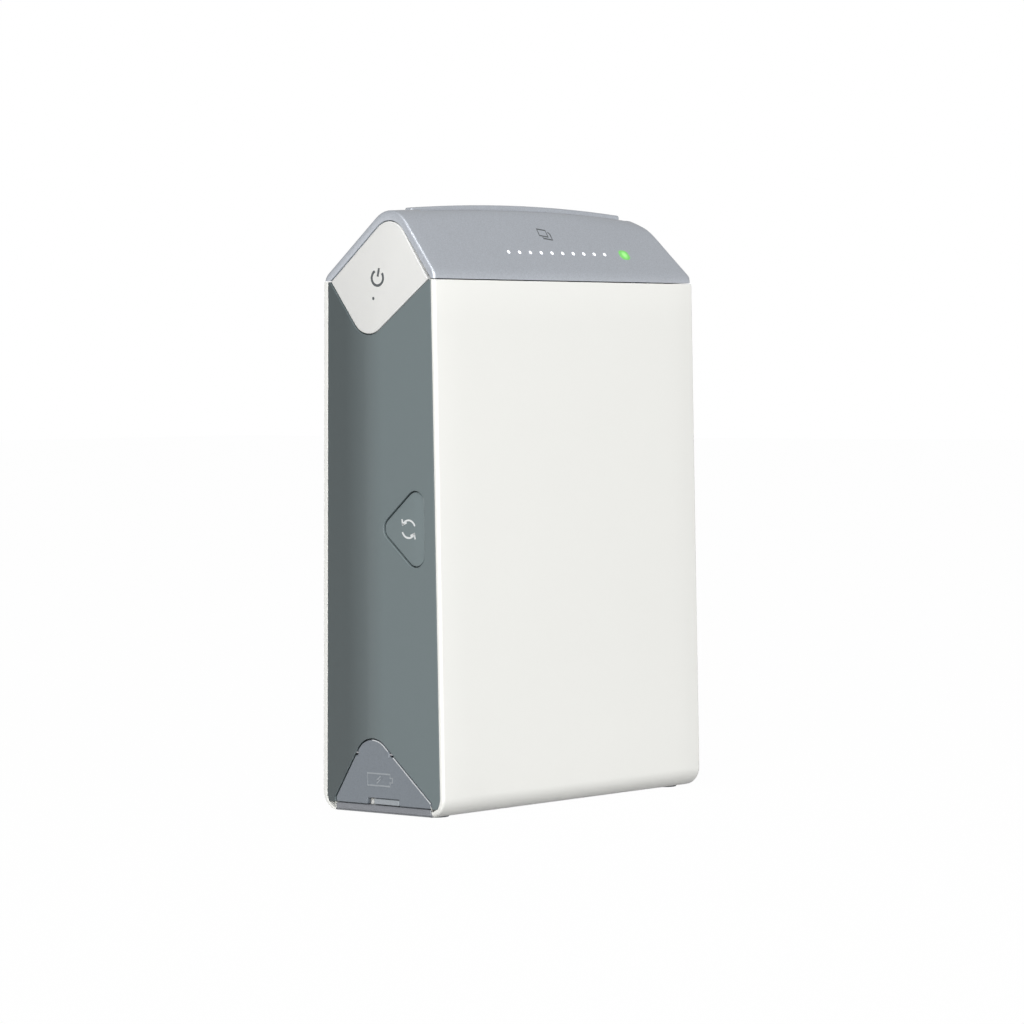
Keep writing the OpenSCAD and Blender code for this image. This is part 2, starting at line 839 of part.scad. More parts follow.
// The door's side view: its back follows the leaning back of the body
module door_side()
{
    start = rear_at(hinge_z) + door_gap;
    end = rear_at(door_top) + door_gap;
    rounded([[start, hinge_z], [back_y, hinge_z], [back_y, door_top], [end, door_top]],
        [0, 0, door_edge, 0]);
}
module film_door() color([0.93, 0.93, 0.91])
difference() {
    union() {
        intersection() {
            along_x(-door_half, door_half)
                door_side();
            along_y(0, back_y + 1)
                round_block(door_half, hinge_z - door_corner, door_top, door_corner);
        }
        rod_x(-lug_in + lug_gap, lug_in - lug_gap, hinge_y, hinge_z, hinge_r);
    }
    both_sides()
        block([lug_in - lug_gap, 0, 0],
            [door_half + 1, far, hinge_z + hinge_r + 0.5]);
    block([-pocket_half, 0, mouth_low + 1.5],
        [pocket_half, back_y - door_wall, mouth_high - 1.5]);
    both_sides()
        rod_x(lug_in - 5, lug_in + 1, hinge_y, hinge_z, hinge_pin_r + run_gap);
    along_y(back_y - door_wall - 1, back_y + 1)
        round_block(window_half, window_z, window_z + window_h, 1.5);
    along_y(back_y - latch_depth, back_y + 1)
        round_block(latch_half + 2, latch_z - latch_travel - 1.5, latch_z + latch_h + 1.5, 1.5);
    block([-3 - fit_gap, back_y - door_wall - 1, latch_z - latch_travel],
        [3 + fit_gap, back_y, latch_z + latch_h - 1]);
}
module door_window() color([0.75, 0.78, 0.8])
along_y(back_y - door_wall, back_y - 0.2)
    round_block(window_half, window_z, window_z + window_h, 1.5);
module door_lock() color([0.66, 0.68, 0.70])
{
    inside = back_y - door_wall - 0.15;
    along_y(back_y - latch_depth + 0.05, back_y - 0.05)
        round_block(latch_half, latch_z, latch_z + latch_h, 1);
    block([-3, inside, latch_z + 0.5], [3, back_y - latch_depth + 0.1, latch_z + latch_h - 1.5]);
    block([-5, inside - 1, latch_z + 0.5], [5, inside, mouth_high - 2]);
}
module door_hinge_pins() color([0.7, 0.7, 0.72])
both_sides()
    rod_x(lug_in - 4, door_half - 0.8, hinge_y, hinge_z, hinge_pin_r);
// Two bowed strips, fixed to the inside of the door, press on the pack
module pack_springs() color([0.75, 0.75, 0.77])
{
    root = back_y - door_wall;
    reach = root - (pack_front + pack_t) - 0.5;
    low = pack_z + 18;
    strip = 0.4;
    bow = [[root, low], [root, low + 6], [root - reach, low + 26], [root - reach, low + 32],
        [root - 1, low + 52]];
    both_sides()
        along_x(12, 20)
            polygon(concat(bow, [for (i = [len(bow) - 1:-1:0]) bow[i] - [strip, 0]]));
}
module light_seals() color([0.12, 0.12, 0.13])
both_sides()
    block([frame_in, frame_back, mouth_low + 0.5],
        [frame_x, frame_back + 1, pack_z + pack_h - 4]);

module bush_places()
{
    for (y = [drive_y, pinch_y])
        translate([0, y, roller_z])
            children();
}
module side_board_posts()
{
    for (z = [side_board_low + 3, reprint_z + 12, roller_z - 8])
        rod_x(-side_board_x, -frame_x + 0.1, pinch_y + 1.5, z, 1.4);
}

// The inner frame: it carries the pack, the rollers, the gears and the boards
module chassis() color([0.15, 0.16, 0.17])
difference() {
    union() {
        block([-frame_x, frame_front, frame_z], [frame_x, frame_front + frame_t, head_z - 0.5]);
        block([-frame_x, frame_front, frame_z], [frame_x, frame_back, frame_z + frame_t]);
        both_sides() {
            block([frame_in, frame_front, frame_z], [frame_x, frame_back, head_z - 0.5]);
            block([frame_in, ear_front, head_z - 2], [frame_x, ear_back, ear_top]);
        }
        for (x = [motor_x + 2, motor_x + motor_len - 4])
            block([x, motor_y - 0.5, motor_z - motor_r - 0.6],
                [x + 2, frame_front + 0.1, motor_z + motor_r + 0.6]);
        for (x = [-board_half + 3, board_half - 3])
            for (z = [board_low + 3, board_high - 3])
                rod_y(board_y + board_t, frame_front + 0.1, x, z, 1.8);
        side_board_posts();
        for (z = claw_pins)
            rod_x(frame_x - 0.1, frame_x + 2, claw_y, z, 1.2);
        block([-cell_w / 2 - 1, frame_front - cell_t - 0.6, cell_low - 1.4],
            [cell_w / 2 + 1, frame_front + 0.1, cell_low]);
    }
    both_sides()
        bush_places()
            rod_x(frame_in - 1, frame_x + 1, 0, 0, bush_r);
    rod_x(motor_x, motor_x + motor_len, motor_y, motor_z, motor_r);
    block([frame_in - 1, claw_y - 2, claw_low - 0.6],
        [frame_x + 1, claw_y + 2, claw_low + 2 + claw_travel + 0.6]);
    block([-frame_x - 1, port_y - port_half - 2, 0],
        [-frame_in + 0.1, port_y + port_half + 2, port_high + 2]);
    for (p = posts) {
        rod_y(frame_front - 1, frame_front + frame_t + 1, p[0], p[1], post_pilot);
        translate([p[0], frame_front + frame_t, p[1]])
            rotate([90, 0, 0])
                cylinder(h = 1.1, r1 = post_pilot + 1.1, r2 = post_pilot);
    }
}
module chassis_screws() color([0.7, 0.7, 0.72])
for (p = posts) {
    translate([p[0], frame_front + frame_t, p[1]])
        rotate([90, 0, 0])
            cylinder(h = 1.1, r1 = post_pilot + 1.1, r2 = post_pilot);
    rod_y(frame_front - 5, frame_front + frame_t - 1.1, p[0], p[1], post_pilot);
}

module film_pack() color([0.13, 0.13, 0.14])
{
    shell = 0.6;
    well = film_w / 2 + 0.5;
    difference() {
        block([-pack_w / 2, pack_front, pack_z],
            [pack_w / 2, pack_front + pack_t, pack_z + pack_h]);
        block([-well, pack_front + shell, pack_z + 1.5],
            [well, pack_front + pack_t - 1.5, pack_z + pack_h - 1.5]);
        block([-well, pack_front + shell, pack_z + pack_h - 2],
            [well, pack_front + shell + 0.6, pack_z + pack_h + 1]);
        block([-film_w / 2 + 4, pack_front - 1, pack_z + 18],
            [film_w / 2 - 4, pack_front + shell + 0.1, pack_z + 82]);
        block([well - 0.3, claw_y - 1.3, claw_low - 1],
            [pack_w / 2 + 1, claw_y + 1.3, claw_low + 3 + claw_travel]);
    }
}
module film_sheets() color([0.9, 0.9, 0.88])
for (i = [0:film_count - 1])
    translate([-film_w / 2, exit_y - 0.2 + i * film_pitch, pack_z + 2])
        cube([film_w, film_pitch - 0.08, film_h]);
module film_guide() color([0.15, 0.16, 0.17])
difference() {
    block([-frame_in, guide_front, guide_z], [frame_in, guide_back, guide_top]);
    block([-film_w / 2 - 2, exit_y - slot_w / 2, guide_z - 1],
        [film_w / 2 + 2, exit_y + slot_w / 2, guide_top + 1]);
}

module gear_shape(teeth, phase)
{
    pitch_r = gear_m * teeth / 2;
    tip_r = pitch_r + 0.8 * gear_m;
    root_r = pitch_r - 1.1 * gear_m;
    half = 90 / teeth * 0.84;
    tip = half - 20 * (tip_r - pitch_r) / pitch_r;
    polygon([for (i = [0:teeth - 1])
        for (corner = [[root_r, -half * 1.15], [pitch_r, -half], [tip_r, -tip],
            [tip_r, tip], [pitch_r, half], [root_r, half * 1.15]])
            let (angle = phase + i * 360 / teeth + corner[1])
            corner[0] * [cos(angle), sin(angle)]]);
}
module gear(x, y, z, teeth, phase, bore)
{
    translate([0, y, z])
        along_x(x, x + gear_t)
            difference() {
                gear_shape(teeth, phase);
                circle(bore);
            }
}
module roller(y)
{
    rod_x(-frame_in + roller_room, frame_in - roller_room, y, roller_z, roller_r);
    rod_x(-frame_x - 0.7, layer_a + gear_t + 0.3, y, roller_z, shaft_r);
}
module drive_roller() color([0.2, 0.2, 0.21])
roller(drive_y);
module pinch_roller() color([0.72, 0.72, 0.74])
roller(pinch_y);
module roller_bushes() color([0.9, 0.9, 0.86])
both_sides()
    bush_places()
        difference() {
            rod_x(frame_in - 0.3, frame_x + 0.3, 0, 0, bush_r);
            rod_x(frame_in - 1, frame_x + 1, 0, 0, shaft_r + run_gap);
        }
module nip_springs() color([0.75, 0.75, 0.77])
both_sides()
    block([frame_in, ear_back, head_z + 3], [frame_x, ear_back + 0.4, ear_top]);

module gear_plate() color([0.7, 0.71, 0.73])
difference() {
    block([frame_x, ear_front - 1, plate_low], [plate_x, ear_back + 0.4, ear_top - 1.5]);
    bush_places()
        rod_x(frame_x - 1, plate_x + 1, 0, 0, bush_r + 0.3);
    rod_x(frame_x - 1, plate_x + 1, motor_y, motor_z, motor_shaft_r + 0.4);
}
module gear_pins() color([0.75, 0.75, 0.77])
{
    rod_x(plate_x, layer_a + gear_t + 0.3, drive_y, idler_z, gear_pin_r);
    rod_x(plate_x, layer_b + gear_t + 0.3, drive_y, reduction_z, gear_pin_r);
}
module drive_gear() color([0.9, 0.9, 0.86])
gear(layer_a, drive_y, roller_z, drive_teeth, 0, shaft_r);
module pinch_gear() color([0.9, 0.9, 0.86])
gear(layer_a, pinch_y, roller_z, drive_teeth, pinch_phase, shaft_r);
module idler_gear() color([0.9, 0.9, 0.86])
gear(layer_a, drive_y, idler_z, idler_teeth, idler_phase, gear_pin_r + run_gap);
module reduction_gear() color([0.9, 0.9, 0.86])
{
    gear(layer_a, drive_y, reduction_z, small_teeth, small_phase, gear_pin_r + run_gap);
    gear(layer_b, drive_y, reduction_z, large_teeth, 0, gear_pin_r + run_gap);
    difference() {
        rod_x(layer_a + gear_t, layer_b, drive_y, reduction_z, gear_pin_r + 0.9);
        rod_x(layer_a, layer_b + 1, drive_y, reduction_z, gear_pin_r + run_gap);
    }
}
module motor_pinion() color([0.85, 0.7, 0.35])
{
    gear(layer_b, motor_y, motor_z, small_teeth, pinion_phase, motor_shaft_r);
    rod_x(motor_x + motor_len - 3, layer_b + gear_t, motor_y, motor_z, motor_shaft_r);
}
module drive_motor() color([0.6, 0.6, 0.62])
difference() {
    rod_x(motor_x, motor_x + motor_len, motor_y, motor_z, motor_r);
    rod_x(motor_x + motor_len - 4, motor_x + motor_len + 1, motor_y, motor_z,
        motor_shaft_r + run_gap);
}

// The claw slides up outside the frame's right wall and pushes a sheet towards the rollers
module pick_claw() color([0.75, 0.75, 0.77])
{
    difference() {
        block([frame_x + 0.3, claw_y - 2, claw_low], [frame_x + 1.3, claw_y + 2, claw_top]);
        for (z = claw_pins)
            block([frame_x, claw_y - 1.3, z - claw_travel - 1.5],
                [frame_x + 2, claw_y + 1.3, z + 1.5]);
    }
    block([film_w / 2 + 0.4, claw_y - 0.7, claw_low], [frame_x + 0.4, claw_y + 0.7, claw_low + 2]);
}
module claw_spring() color([0.75, 0.75, 0.77])
block([frame_x, claw_y + 2.5, claw_low + 30], [frame_x + 1, claw_y + 2.9, claw_top - 8]);

module exposure_head() color([0.22, 0.22, 0.23])
difference() {
    block([-frame_in, head_front, head_z], [frame_in, head_back, head_z + head_h]);
    block([-film_w / 2 - 1, head_back - 2, head_z + 3],
        [film_w / 2 + 1, head_back + 1, head_z + 6]);
}
module exposure_lens() color([0.75, 0.8, 0.85])
block([-film_w / 2 - 1, head_back - 2, head_z + 3],
    [film_w / 2 + 1, exit_y - 1.6, head_z + 6]);
module head_flex() color([0.75, 0.45, 0.15])
along_x(-8, 6)
    polygon([[board_y - 0.25, board_high - 6], [board_y, board_high - 6],
        [board_y, board_high], [board_y - 1, board_high + 3],
        [board_y - 1, head_z], [board_y - 1.25, head_z],
        [board_y - 1.25, board_high + 3], [board_y - 0.25, board_high]]);
module main_board() color([0.1, 0.32, 0.2])
block([-board_half, board_y, board_low], [board_half, board_y + board_t, board_high]);
module board_chips() color([0.12, 0.12, 0.13])
{
    chip(-24, 8, 10, 10, 1.2);
    chip(-10, 6, 14, 12, 1);
    chip(10, 7, 8, 8, 1.2);
    chip(16, 3, 6, 3, 1);
    chip(21, board_high - board_low - 15.7, 8, 12, 1.6);
    chip(-24, board_high - board_low - 13.7, 12, 5, 1.8);
}
module chip(x, z, width, height, thickness)
{
    block([x, board_y - thickness, board_low + z], [x + width, board_y, board_low + z + height]);
}
module battery_cell() color([0.35, 0.4, 0.5])
block([-cell_w / 2, frame_front - cell_t - 0.2, cell_low],
    [cell_w / 2, frame_front - 0.2, cell_low + cell_h]);

module port_bezel() color([0.1, 0.1, 0.11])
difference() {
    along_x(-skin_x, port_x + 0.8)
        port_shape(port_wall);
    along_x(-skin_x - 1, port_x)
        port_shape(0);
    block([port_x - 1, port_y - usb_half, usb_z], [port_x + 2, port_y + usb_half, usb_z + usb_h]);
}
module usb_socket() color([0.72, 0.72, 0.74])
difference() {
    block([port_x, port_y - usb_half, usb_z], [port_x + usb_len, port_y + usb_half, usb_z + usb_h]);
    difference() {
        block([port_x - 1, port_y - usb_half + 0.3, usb_z + 0.3],
            [port_x + usb_len - 1, port_y + usb_half - 0.3, usb_z + usb_h - 0.3]);
        block([port_x - 1, port_y - usb_half + 1.2, usb_z + 1.6],
            [port_x + usb_len, port_y + usb_half - 1.2, usb_z + usb_h - 0.5]);
    }
}
module usb_board() color([0.1, 0.32, 0.2])
block([port_x + 0.8, port_y - 5, usb_z - board_t], [-frame_in - 0.2, port_y + 5, usb_z]);

module switch_board() color([0.1, 0.32, 0.2])
block([-side_board_x - board_t, ear_front + 0.5, side_board_low],
    [-side_board_x, ear_back, seam_h + 4.5]);
module push_switch(y, z)
{
    base = -side_board_x - board_t;
    block([base - switch_t, y - 3, z - 3], [base, y + 3, z + 3]);
    rod_x(-plunger_x, base - switch_t, y, z, 1.2);
}
module power_switch() color([0.2, 0.2, 0.22])
push_switch(power_y, power_z);
module reprint_switch() color([0.2, 0.2, 0.22])
push_switch(reprint_y, reprint_z);
module door_switch() color([0.2, 0.2, 0.22])
block([frame_x, pack_front + 8, motor_z - 4], [frame_x + 3, frame_back - 2, motor_z + 4]);

front_shell();
rear_shell();
left_panel();
right_panel();
top_cap();
exit_lip();
base_plate();
rubber_feet();
power_button();
power_light_pipe();
reprint_button();
charge_flap();
flap_lock();
flap_hinge_pin();
counter_lights();
status_light();
film_door();
door_window();
door_lock();
door_hinge_pins();
pack_springs();
light_seals();
chassis();
film_pack();
film_sheets();
film_guide();
drive_roller();
pinch_roller();
roller_bushes();
nip_springs();
gear_plate();
gear_pins();
drive_gear();
pinch_gear();
idler_gear();
reduction_gear();
motor_pinion();
drive_motor();
pick_claw();
claw_spring();
exposure_head();
exposure_lens();
head_flex();
main_board();
board_chips();
battery_cell();
usb_socket();
usb_board();
port_bezel();
led_board();
led_chips();
switch_board();
power_switch();
reprint_switch();
door_switch();
case_screws();
chassis_screws();
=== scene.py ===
import json
import math

import bmesh
import bpy
from mathutils import Matrix, Vector


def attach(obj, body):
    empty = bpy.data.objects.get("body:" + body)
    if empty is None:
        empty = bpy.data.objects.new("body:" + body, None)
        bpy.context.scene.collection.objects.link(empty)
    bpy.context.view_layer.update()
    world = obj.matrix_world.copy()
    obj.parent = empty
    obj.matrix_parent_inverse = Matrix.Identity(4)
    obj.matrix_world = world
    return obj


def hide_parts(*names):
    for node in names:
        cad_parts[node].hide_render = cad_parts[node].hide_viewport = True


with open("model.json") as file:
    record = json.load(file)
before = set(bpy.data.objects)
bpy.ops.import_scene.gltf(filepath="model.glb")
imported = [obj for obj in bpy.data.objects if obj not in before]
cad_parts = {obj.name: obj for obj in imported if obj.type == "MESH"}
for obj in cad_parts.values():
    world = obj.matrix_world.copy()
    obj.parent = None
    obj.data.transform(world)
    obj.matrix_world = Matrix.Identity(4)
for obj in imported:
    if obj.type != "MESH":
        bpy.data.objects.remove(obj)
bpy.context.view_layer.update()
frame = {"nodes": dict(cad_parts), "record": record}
print("frame loaded")

mm = 0.001

# the body's faces, in mm as in the part's source
case = {
    "halfWidth": 44.75, "panelDepth": 1.5, "edgeLip": 1.1,
    "frontFoot": -20.0, "rearFoot": 15.2, "middle": -2.4, "lean": 1.6,
    "seam": 115.4, "ground": 0.3, "footRound": 4.2, "baseHalf": 13.9, "baseTop": 2.0,
}


def frontAt(z):
    return case["frontFoot"] + case["lean"] * z / case["seam"]


def rearAt(z):
    return case["rearFoot"] - case["lean"] * z / case["seam"]


# meshes

def newPiece(name, vertices, faces, sharpAngle=32):
    mesh = bpy.data.meshes.new(name)
    mesh.from_pydata([Vector(v) * mm for v in vertices], [], faces)
    work = bmesh.new()
    work.from_mesh(mesh)
    bmesh.ops.remove_doubles(work, verts=work.verts, dist=1e-6)
    bmesh.ops.recalc_face_normals(work, faces=work.faces)
    work.to_mesh(mesh)
    work.free()
    smoothEdges(mesh, sharpAngle)
    piece = bpy.data.objects.new(name, mesh)
    bpy.context.scene.collection.objects.link(piece)
    return piece


def smoothEdges(mesh, sharpAngle):
    mesh.polygons.foreach_set("use_smooth", [True] * len(mesh.polygons))
    mesh.set_sharp_from_angle(angle=math.radians(sharpAngle))
    mesh.update()


def gridPiece(name, columns, closed=False, caps=False, sharpAngle=32):
    # columns of equally many points, joined side by side
    count = len(columns[0])
    vertices = [point for column in columns for point in column]
    faces = []
    for c in range(len(columns) - 1):
        for r in range(count if closed else count - 1):
            a, b = c * count + r, c * count + (r + 1) % count
            faces.append((a, b, b + count, a + count))
    if caps:
        faces.append(tuple(range(count)))
        faces.append(tuple(range(len(vertices) - count, len(vertices))))
    return newPiece(name, vertices, faces, sharpAngle)


def cornerData(points, i):
    here, before, after = (Vector(points[k % len(points)]) for k in (i, i - 1, i + 1))
    a, b = (before - here).normalized(), (after - here).normalized()
    return here, a, b, abs(a.x * b.y - a.y * b.x), a.angle(b)


def roundOutline(points, radii, inset=0.0, steps=8):
    # a convex anticlockwise outline drawn in by inset, its corners rounded
    outline = []
    for i, radius in enumerate(radii):
        here, a, b, cross, angle = cornerData(points, i)
        corner = here + (a + b) * inset / cross
        if not radius:
            outline.append(corner)
            continue
        r = max(radius - inset, 0.12)
        centre = corner + (a + b) * r / cross
        start = corner + a * r / math.tan(angle / 2) - centre
        for k in range(steps + 1):
            turn = (math.pi - angle) * k / steps
            outline.append(centre + Matrix.Rotation(turn, 2) @ start)
    return outline


def slab(name, points, radii, levels, steps=8):
    # a plate of rings (x, inset), from its back to its face
    columns = [[(x, p.x, p.y) for p in roundOutline(points, radii, inset, steps)]
               for x, inset in levels]
    return gridPiece(name, columns, closed=True, caps=True)


def edgeLevels(back, face, edge, steps=4):
    # straight up from back, then round an edge on to the face
    side = 1 if face > back else -1
    levels = [(back, 0.0)]
    for k in range(steps + 1):
        a = math.radians(90) * k / steps
        levels.append((face - side * edge * (1 - math.sin(a)), edge * (1 - math.cos(a))))
    return levels


def bakeModifiers(piece):
    graph = bpy.context.evaluated_depsgraph_get()
    mesh = bpy.data.meshes.new_from_object(piece.evaluated_get(graph))
    piece.modifiers.clear()
    piece.data = mesh
    return piece


def carve(piece, *cutters):
    for cutter in cutters:
        cut = piece.modifiers.new("cut", "BOOLEAN")
        cut.operation, cut.solver, cut.object = "DIFFERENCE", "EXACT", cutter
    bakeModifiers(piece)
    for cutter in cutters:
        bpy.data.objects.remove(cutter)
    return piece


def softenEdges(piece, width, segments=3, angle=38, sharpAngle=32):
    work = bmesh.new()
    work.from_mesh(piece.data)
    bmesh.ops.remove_doubles(work, verts=work.verts, dist=2e-6)
    bmesh.ops.dissolve_limit(work, angle_limit=math.radians(0.4), verts=work.verts,
                             edges=work.edges)
    work.to_mesh(piece.data)
    work.free()
    bevel = piece.modifiers.new("edge", "BEVEL")
    bevel.width, bevel.segments = width * mm, segments
    bevel.limit_method, bevel.angle_limit = "ANGLE", math.radians(angle)
    bevel.use_clamp_overlap = False
    bevel.harden_normals = False
    bakeModifiers(piece)
    smoothEdges(piece.data, sharpAngle)
    # wide flat faces keep their own normals, so their shading stays even
    weigh = piece.modifiers.new("weigh", "WEIGHTED_NORMAL")
    weigh.keep_sharp = True
    bakeModifiers(piece)
    return piece


def softCopy(node, name, width, segments=3, angle=38):
    # the solid's own form with its edges broken
    piece = bpy.data.objects.new(name, frame["nodes"][node].data.copy())
    piece.data.materials.clear()
    bpy.context.scene.collection.objects.link(piece)
    return softenEdges(piece, width, segments, angle)


def prism(name, points, x0, x1):
    return gridPiece(name, [[(x, p[0], p[1]) for p in points] for x in (x0, x1)],
                     closed=True, caps=True)


def ribbon(name, paths, width, place, closed=False, height=0.03):
    # printed or raised lines: flat strips along paths, set down by place(u, v, h)
    vertices, faces = [], []
    for path in paths:
        points = [Vector(p) for p in path]
        loop = closed and len(points) > 2
        first = len(vertices)
        for i, p in enumerate(points):
            before = points[i - 1] if i or loop else p
            after = points[(i + 1) % len(points)] if i < len(points) - 1 or loop else p
            along = (after - before).normalized()
            side = Vector((-along.y, along.x)) * width / 2
            for offset, h in ((side, 0), (side * 0.9, height), (-side * 0.9, height), (-side, 0)):
                vertices.append(place(p.x + offset.x, p.y + offset.y, h))
        count = len(points)
        for i in range(count if loop else count - 1):
            a, b = first + 4 * i, first + 4 * ((i + 1) % count)
            for k in range(4):
                faces.append((a + k, a + (k + 1) % 4, b + (k + 1) % 4, b + k))
        if not loop:
            faces.append(tuple(range(first, first + 4)))
            faces.append(tuple(range(first + 4 * count - 4, first + 4 * count)))
    return newPiece(name, vertices, faces)


def finishPiece(piece, finish, slot, body, *replaced):
    piece.data.materials.clear()
    piece.data.materials.append(finish)
    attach(piece, body)
    if replaced:
        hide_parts(*replaced)
    return piece


# finishes

class Wire:
    # one socket of a node tree, which adds nodes as it is reckoned with
    def __init__(self, tree, socket=None):
        self.tree, self.socket = tree, socket

    def node(self, kind, settings=None, sockets=None, out=0):
        made = self.tree.nodes.new(kind)
        for name, value in (settings or {}).items():
            if name == "stops":
                while len(made.color_ramp.elements) < len(value):
                    made.color_ramp.elements.new(0.5)
                for element, (at, colour) in zip(made.color_ramp.elements, value):
                    element.position, element.color = at, (*colour, 1)
            else:
                setattr(made, name, value)
        for name, value in (sockets or {}).items():
            if isinstance(value, Wire):
                self.tree.links.new(value.socket, made.inputs[name])
            else:
                made.inputs[name].default_value = value
        return Wire(self.tree, made.outputs[out])

    def reckon(self, operation, *values):
        return self.node("ShaderNodeMath", {"operation": operation}, dict(enumerate(values)))

    def __add__(self, other):
        return self.reckon("ADD", self, other)

    def __radd__(self, other):
        return self.reckon("ADD", other, self)

    def __sub__(self, other):
        return self.reckon("SUBTRACT", self, other)

    def __rsub__(self, other):
        return self.reckon("SUBTRACT", other, self)

    def __mul__(self, other):
        return self.reckon("MULTIPLY", self, other)

    def __rmul__(self, other):
        return self.reckon("MULTIPLY", other, self)

    def blend(self, low, high):
        # from one colour to another, by this value
        return self.node("ShaderNodeMix", {"data_type": "RGBA"},
                         {0: self, 6: low, 7: high}, out=2)

    def noise(self, place, size, detail=2.0, stretch=None):
        # size in mm
        if stretch:
            place = self.node("ShaderNodeMapping", None, {"Vector": place, "Scale": stretch})
        return self.node("ShaderNodeTexNoise", None,
                         {"Vector": place, "Scale": 1 / (size * mm), "Detail": detail})


def tone(colour, factor):
    return tuple(min(c * factor, 1) for c in colour) + (1,)


def startFinish(name):
    finish = bpy.data.materials.new(name)
    finish.use_nodes = True
    tree = finish.node_tree
    shader = tree.nodes["Principled BSDF"]
    place = Wire(tree).node("ShaderNodeTexCoord", out="Object")
    return finish, tree, shader, place


def plug(shader, wires):
    for name, wire in wires.items():
        shader.id_data.links.new(wire.socket, shader.inputs[name])


def mouldedPlastic(name, colour, rough=0.45, mottle=0.03, grain=0.35, depth=0.006, bow=0.0):
    # bow bends the shading normals through the bump, so that a flat face seems to fall away a little
    # towards the back; its form stays flat
    finish, tree, shader, place = startFinish(name)
    broad = place.noise(place, 28, 3)
    fine = place.noise(place, grain, 2)
    height = fine * (depth * mm)
    if bow:
        back = place.node("ShaderNodeSeparateXYZ", None, {"Vector": place}, out="Y")
        bend = back.reckon("MINIMUM", back.reckon("MAXIMUM", back + 0.003, 0.0), 0.0105)
        rest = back.reckon("MAXIMUM", back - 0.0075, 0.0)
        height = height - bend * bend * (bow / 2) - rest * (bow * 0.0105)
    bump = place.node("ShaderNodeBump", None,
                      {"Height": height, "Strength": 1.0, "Distance": 1.0})
    plug(shader, {
        "Base Color": (broad * 0.7 + fine * 0.3).blend(tone(colour, 1 - mottle),
                                                       tone(colour, 1 + mottle)),
        "Roughness": broad * 0.06 + fine * 0.05 + (rough - 0.055),
        "Normal": bump,
    })
    return finish


def silverPaint(name, colour, metal=0.5, rough=0.42, flake=0.16, lacquer=0.0):
    # fine flakes in a satin lacquer
    finish, tree, shader, place = startFinish(name)
    broad = place.noise(place, 30, 2)
    fleck = place.node("ShaderNodeTexVoronoi", None,
                       {"Vector": place, "Scale": 1 / (flake * mm)}, out="Color")
    grey = place.node("ShaderNodeSeparateColor", None, {"Color": fleck})
    bump = place.node("ShaderNodeBump", None,
                      {"Height": grey, "Strength": 0.6, "Distance": 0.003 * mm})
    plug(shader, {
        "Base Color": (grey * 0.75 + broad * 0.25).blend(tone(colour, 0.88), tone(colour, 1.12)),
        "Roughness": broad * 0.06 + grey * 0.06 + (rough - 0.06),
        "Metallic": grey * 0.1 + (metal - 0.05),
        "Normal": bump,
    })
    shader.inputs["Coat Weight"].default_value = lacquer
    shader.inputs["Coat Roughness"].default_value = 0.16
    return finish


def bareMetal(name, colour, rough=0.28, stretch=(1, 12, 12), grain=0.5):
    # drawn or rolled metal: fine lines along the part
    finish, tree, shader, place = startFinish(name)
    lines = place.noise(place, grain, 3, stretch)
    cloud = place.noise(place, 6, 2)
    bump = place.node("ShaderNodeBump", None,
                      {"Height": lines, "Strength": 0.5, "Distance": 0.004 * mm})
    plug(shader, {
        "Base Color": (lines * 0.6 + cloud * 0.4).blend(tone(colour, 0.88), tone(colour, 1.08)),
        "Roughness": lines * 0.14 + cloud * 0.06 + (rough - 0.1),
        "Normal": bump,
    })
    shader.inputs["Metallic"].default_value = 1.0
    return finish


def softRubber(name, colour):
    finish, tree, shader, place = startFinish(name)
    fine = place.noise(place, 0.22, 4)
    dust = place.noise(place, 4, 3)
    bump = place.node("ShaderNodeBump", None,
                      {"Height": fine, "Strength": 0.8, "Distance": 0.02 * mm})
    plug(shader, {
        "Base Color": dust.blend(tone(colour, 0.8), tone(colour, 1.5)),
        "Roughness": fine * 0.12 + 0.72,
        "Normal": bump,
    })
    return finish


def clearPlastic(name, colour, rough=0.08, through=1.0):
    finish, tree, shader, place = startFinish(name)
    cloud = place.noise(place, 5, 2)
    plug(shader, {
        "Base Color": cloud.blend(tone(colour, 0.92), tone(colour, 1.04)),
        "Roughness": cloud * 0.06 + (rough - 0.03),
    })
    shader.inputs["Transmission Weight"].default_value = through
    shader.inputs["IOR"].default_value = 1.49
    return finish


def circuitBoard(name, colour):
    # tracks under the solder mask, seen as paler lines and rings
    finish, tree, shader, place = startFinish(name)
    cells = place.node("ShaderNodeTexVoronoi", {"feature": "DISTANCE_TO_EDGE"},
                       {"Vector": place, "Scale": 1 / (2.4 * mm)})
    track = place.node("ShaderNodeValToRGB",
                       {"stops": [(0.05, (1, 1, 1)), (0.11, (0, 0, 0))]}, {"Fac": cells})
    grey = place.node("ShaderNodeRGBToBW", None, {"Color": track})
    fine = place.noise(place, 0.3, 2)
    bump = place.node("ShaderNodeBump", None,
                      {"Height": grey, "Strength": 0.5, "Distance": 0.03 * mm})
    plug(shader, {
        "Base Color": (grey * 0.8 + fine * 0.2).blend(tone(colour, 0.8), tone(colour, 1.9)),
        "Roughness": fine * 0.1 + 0.25,
        "Normal": bump,
    })
    return finish


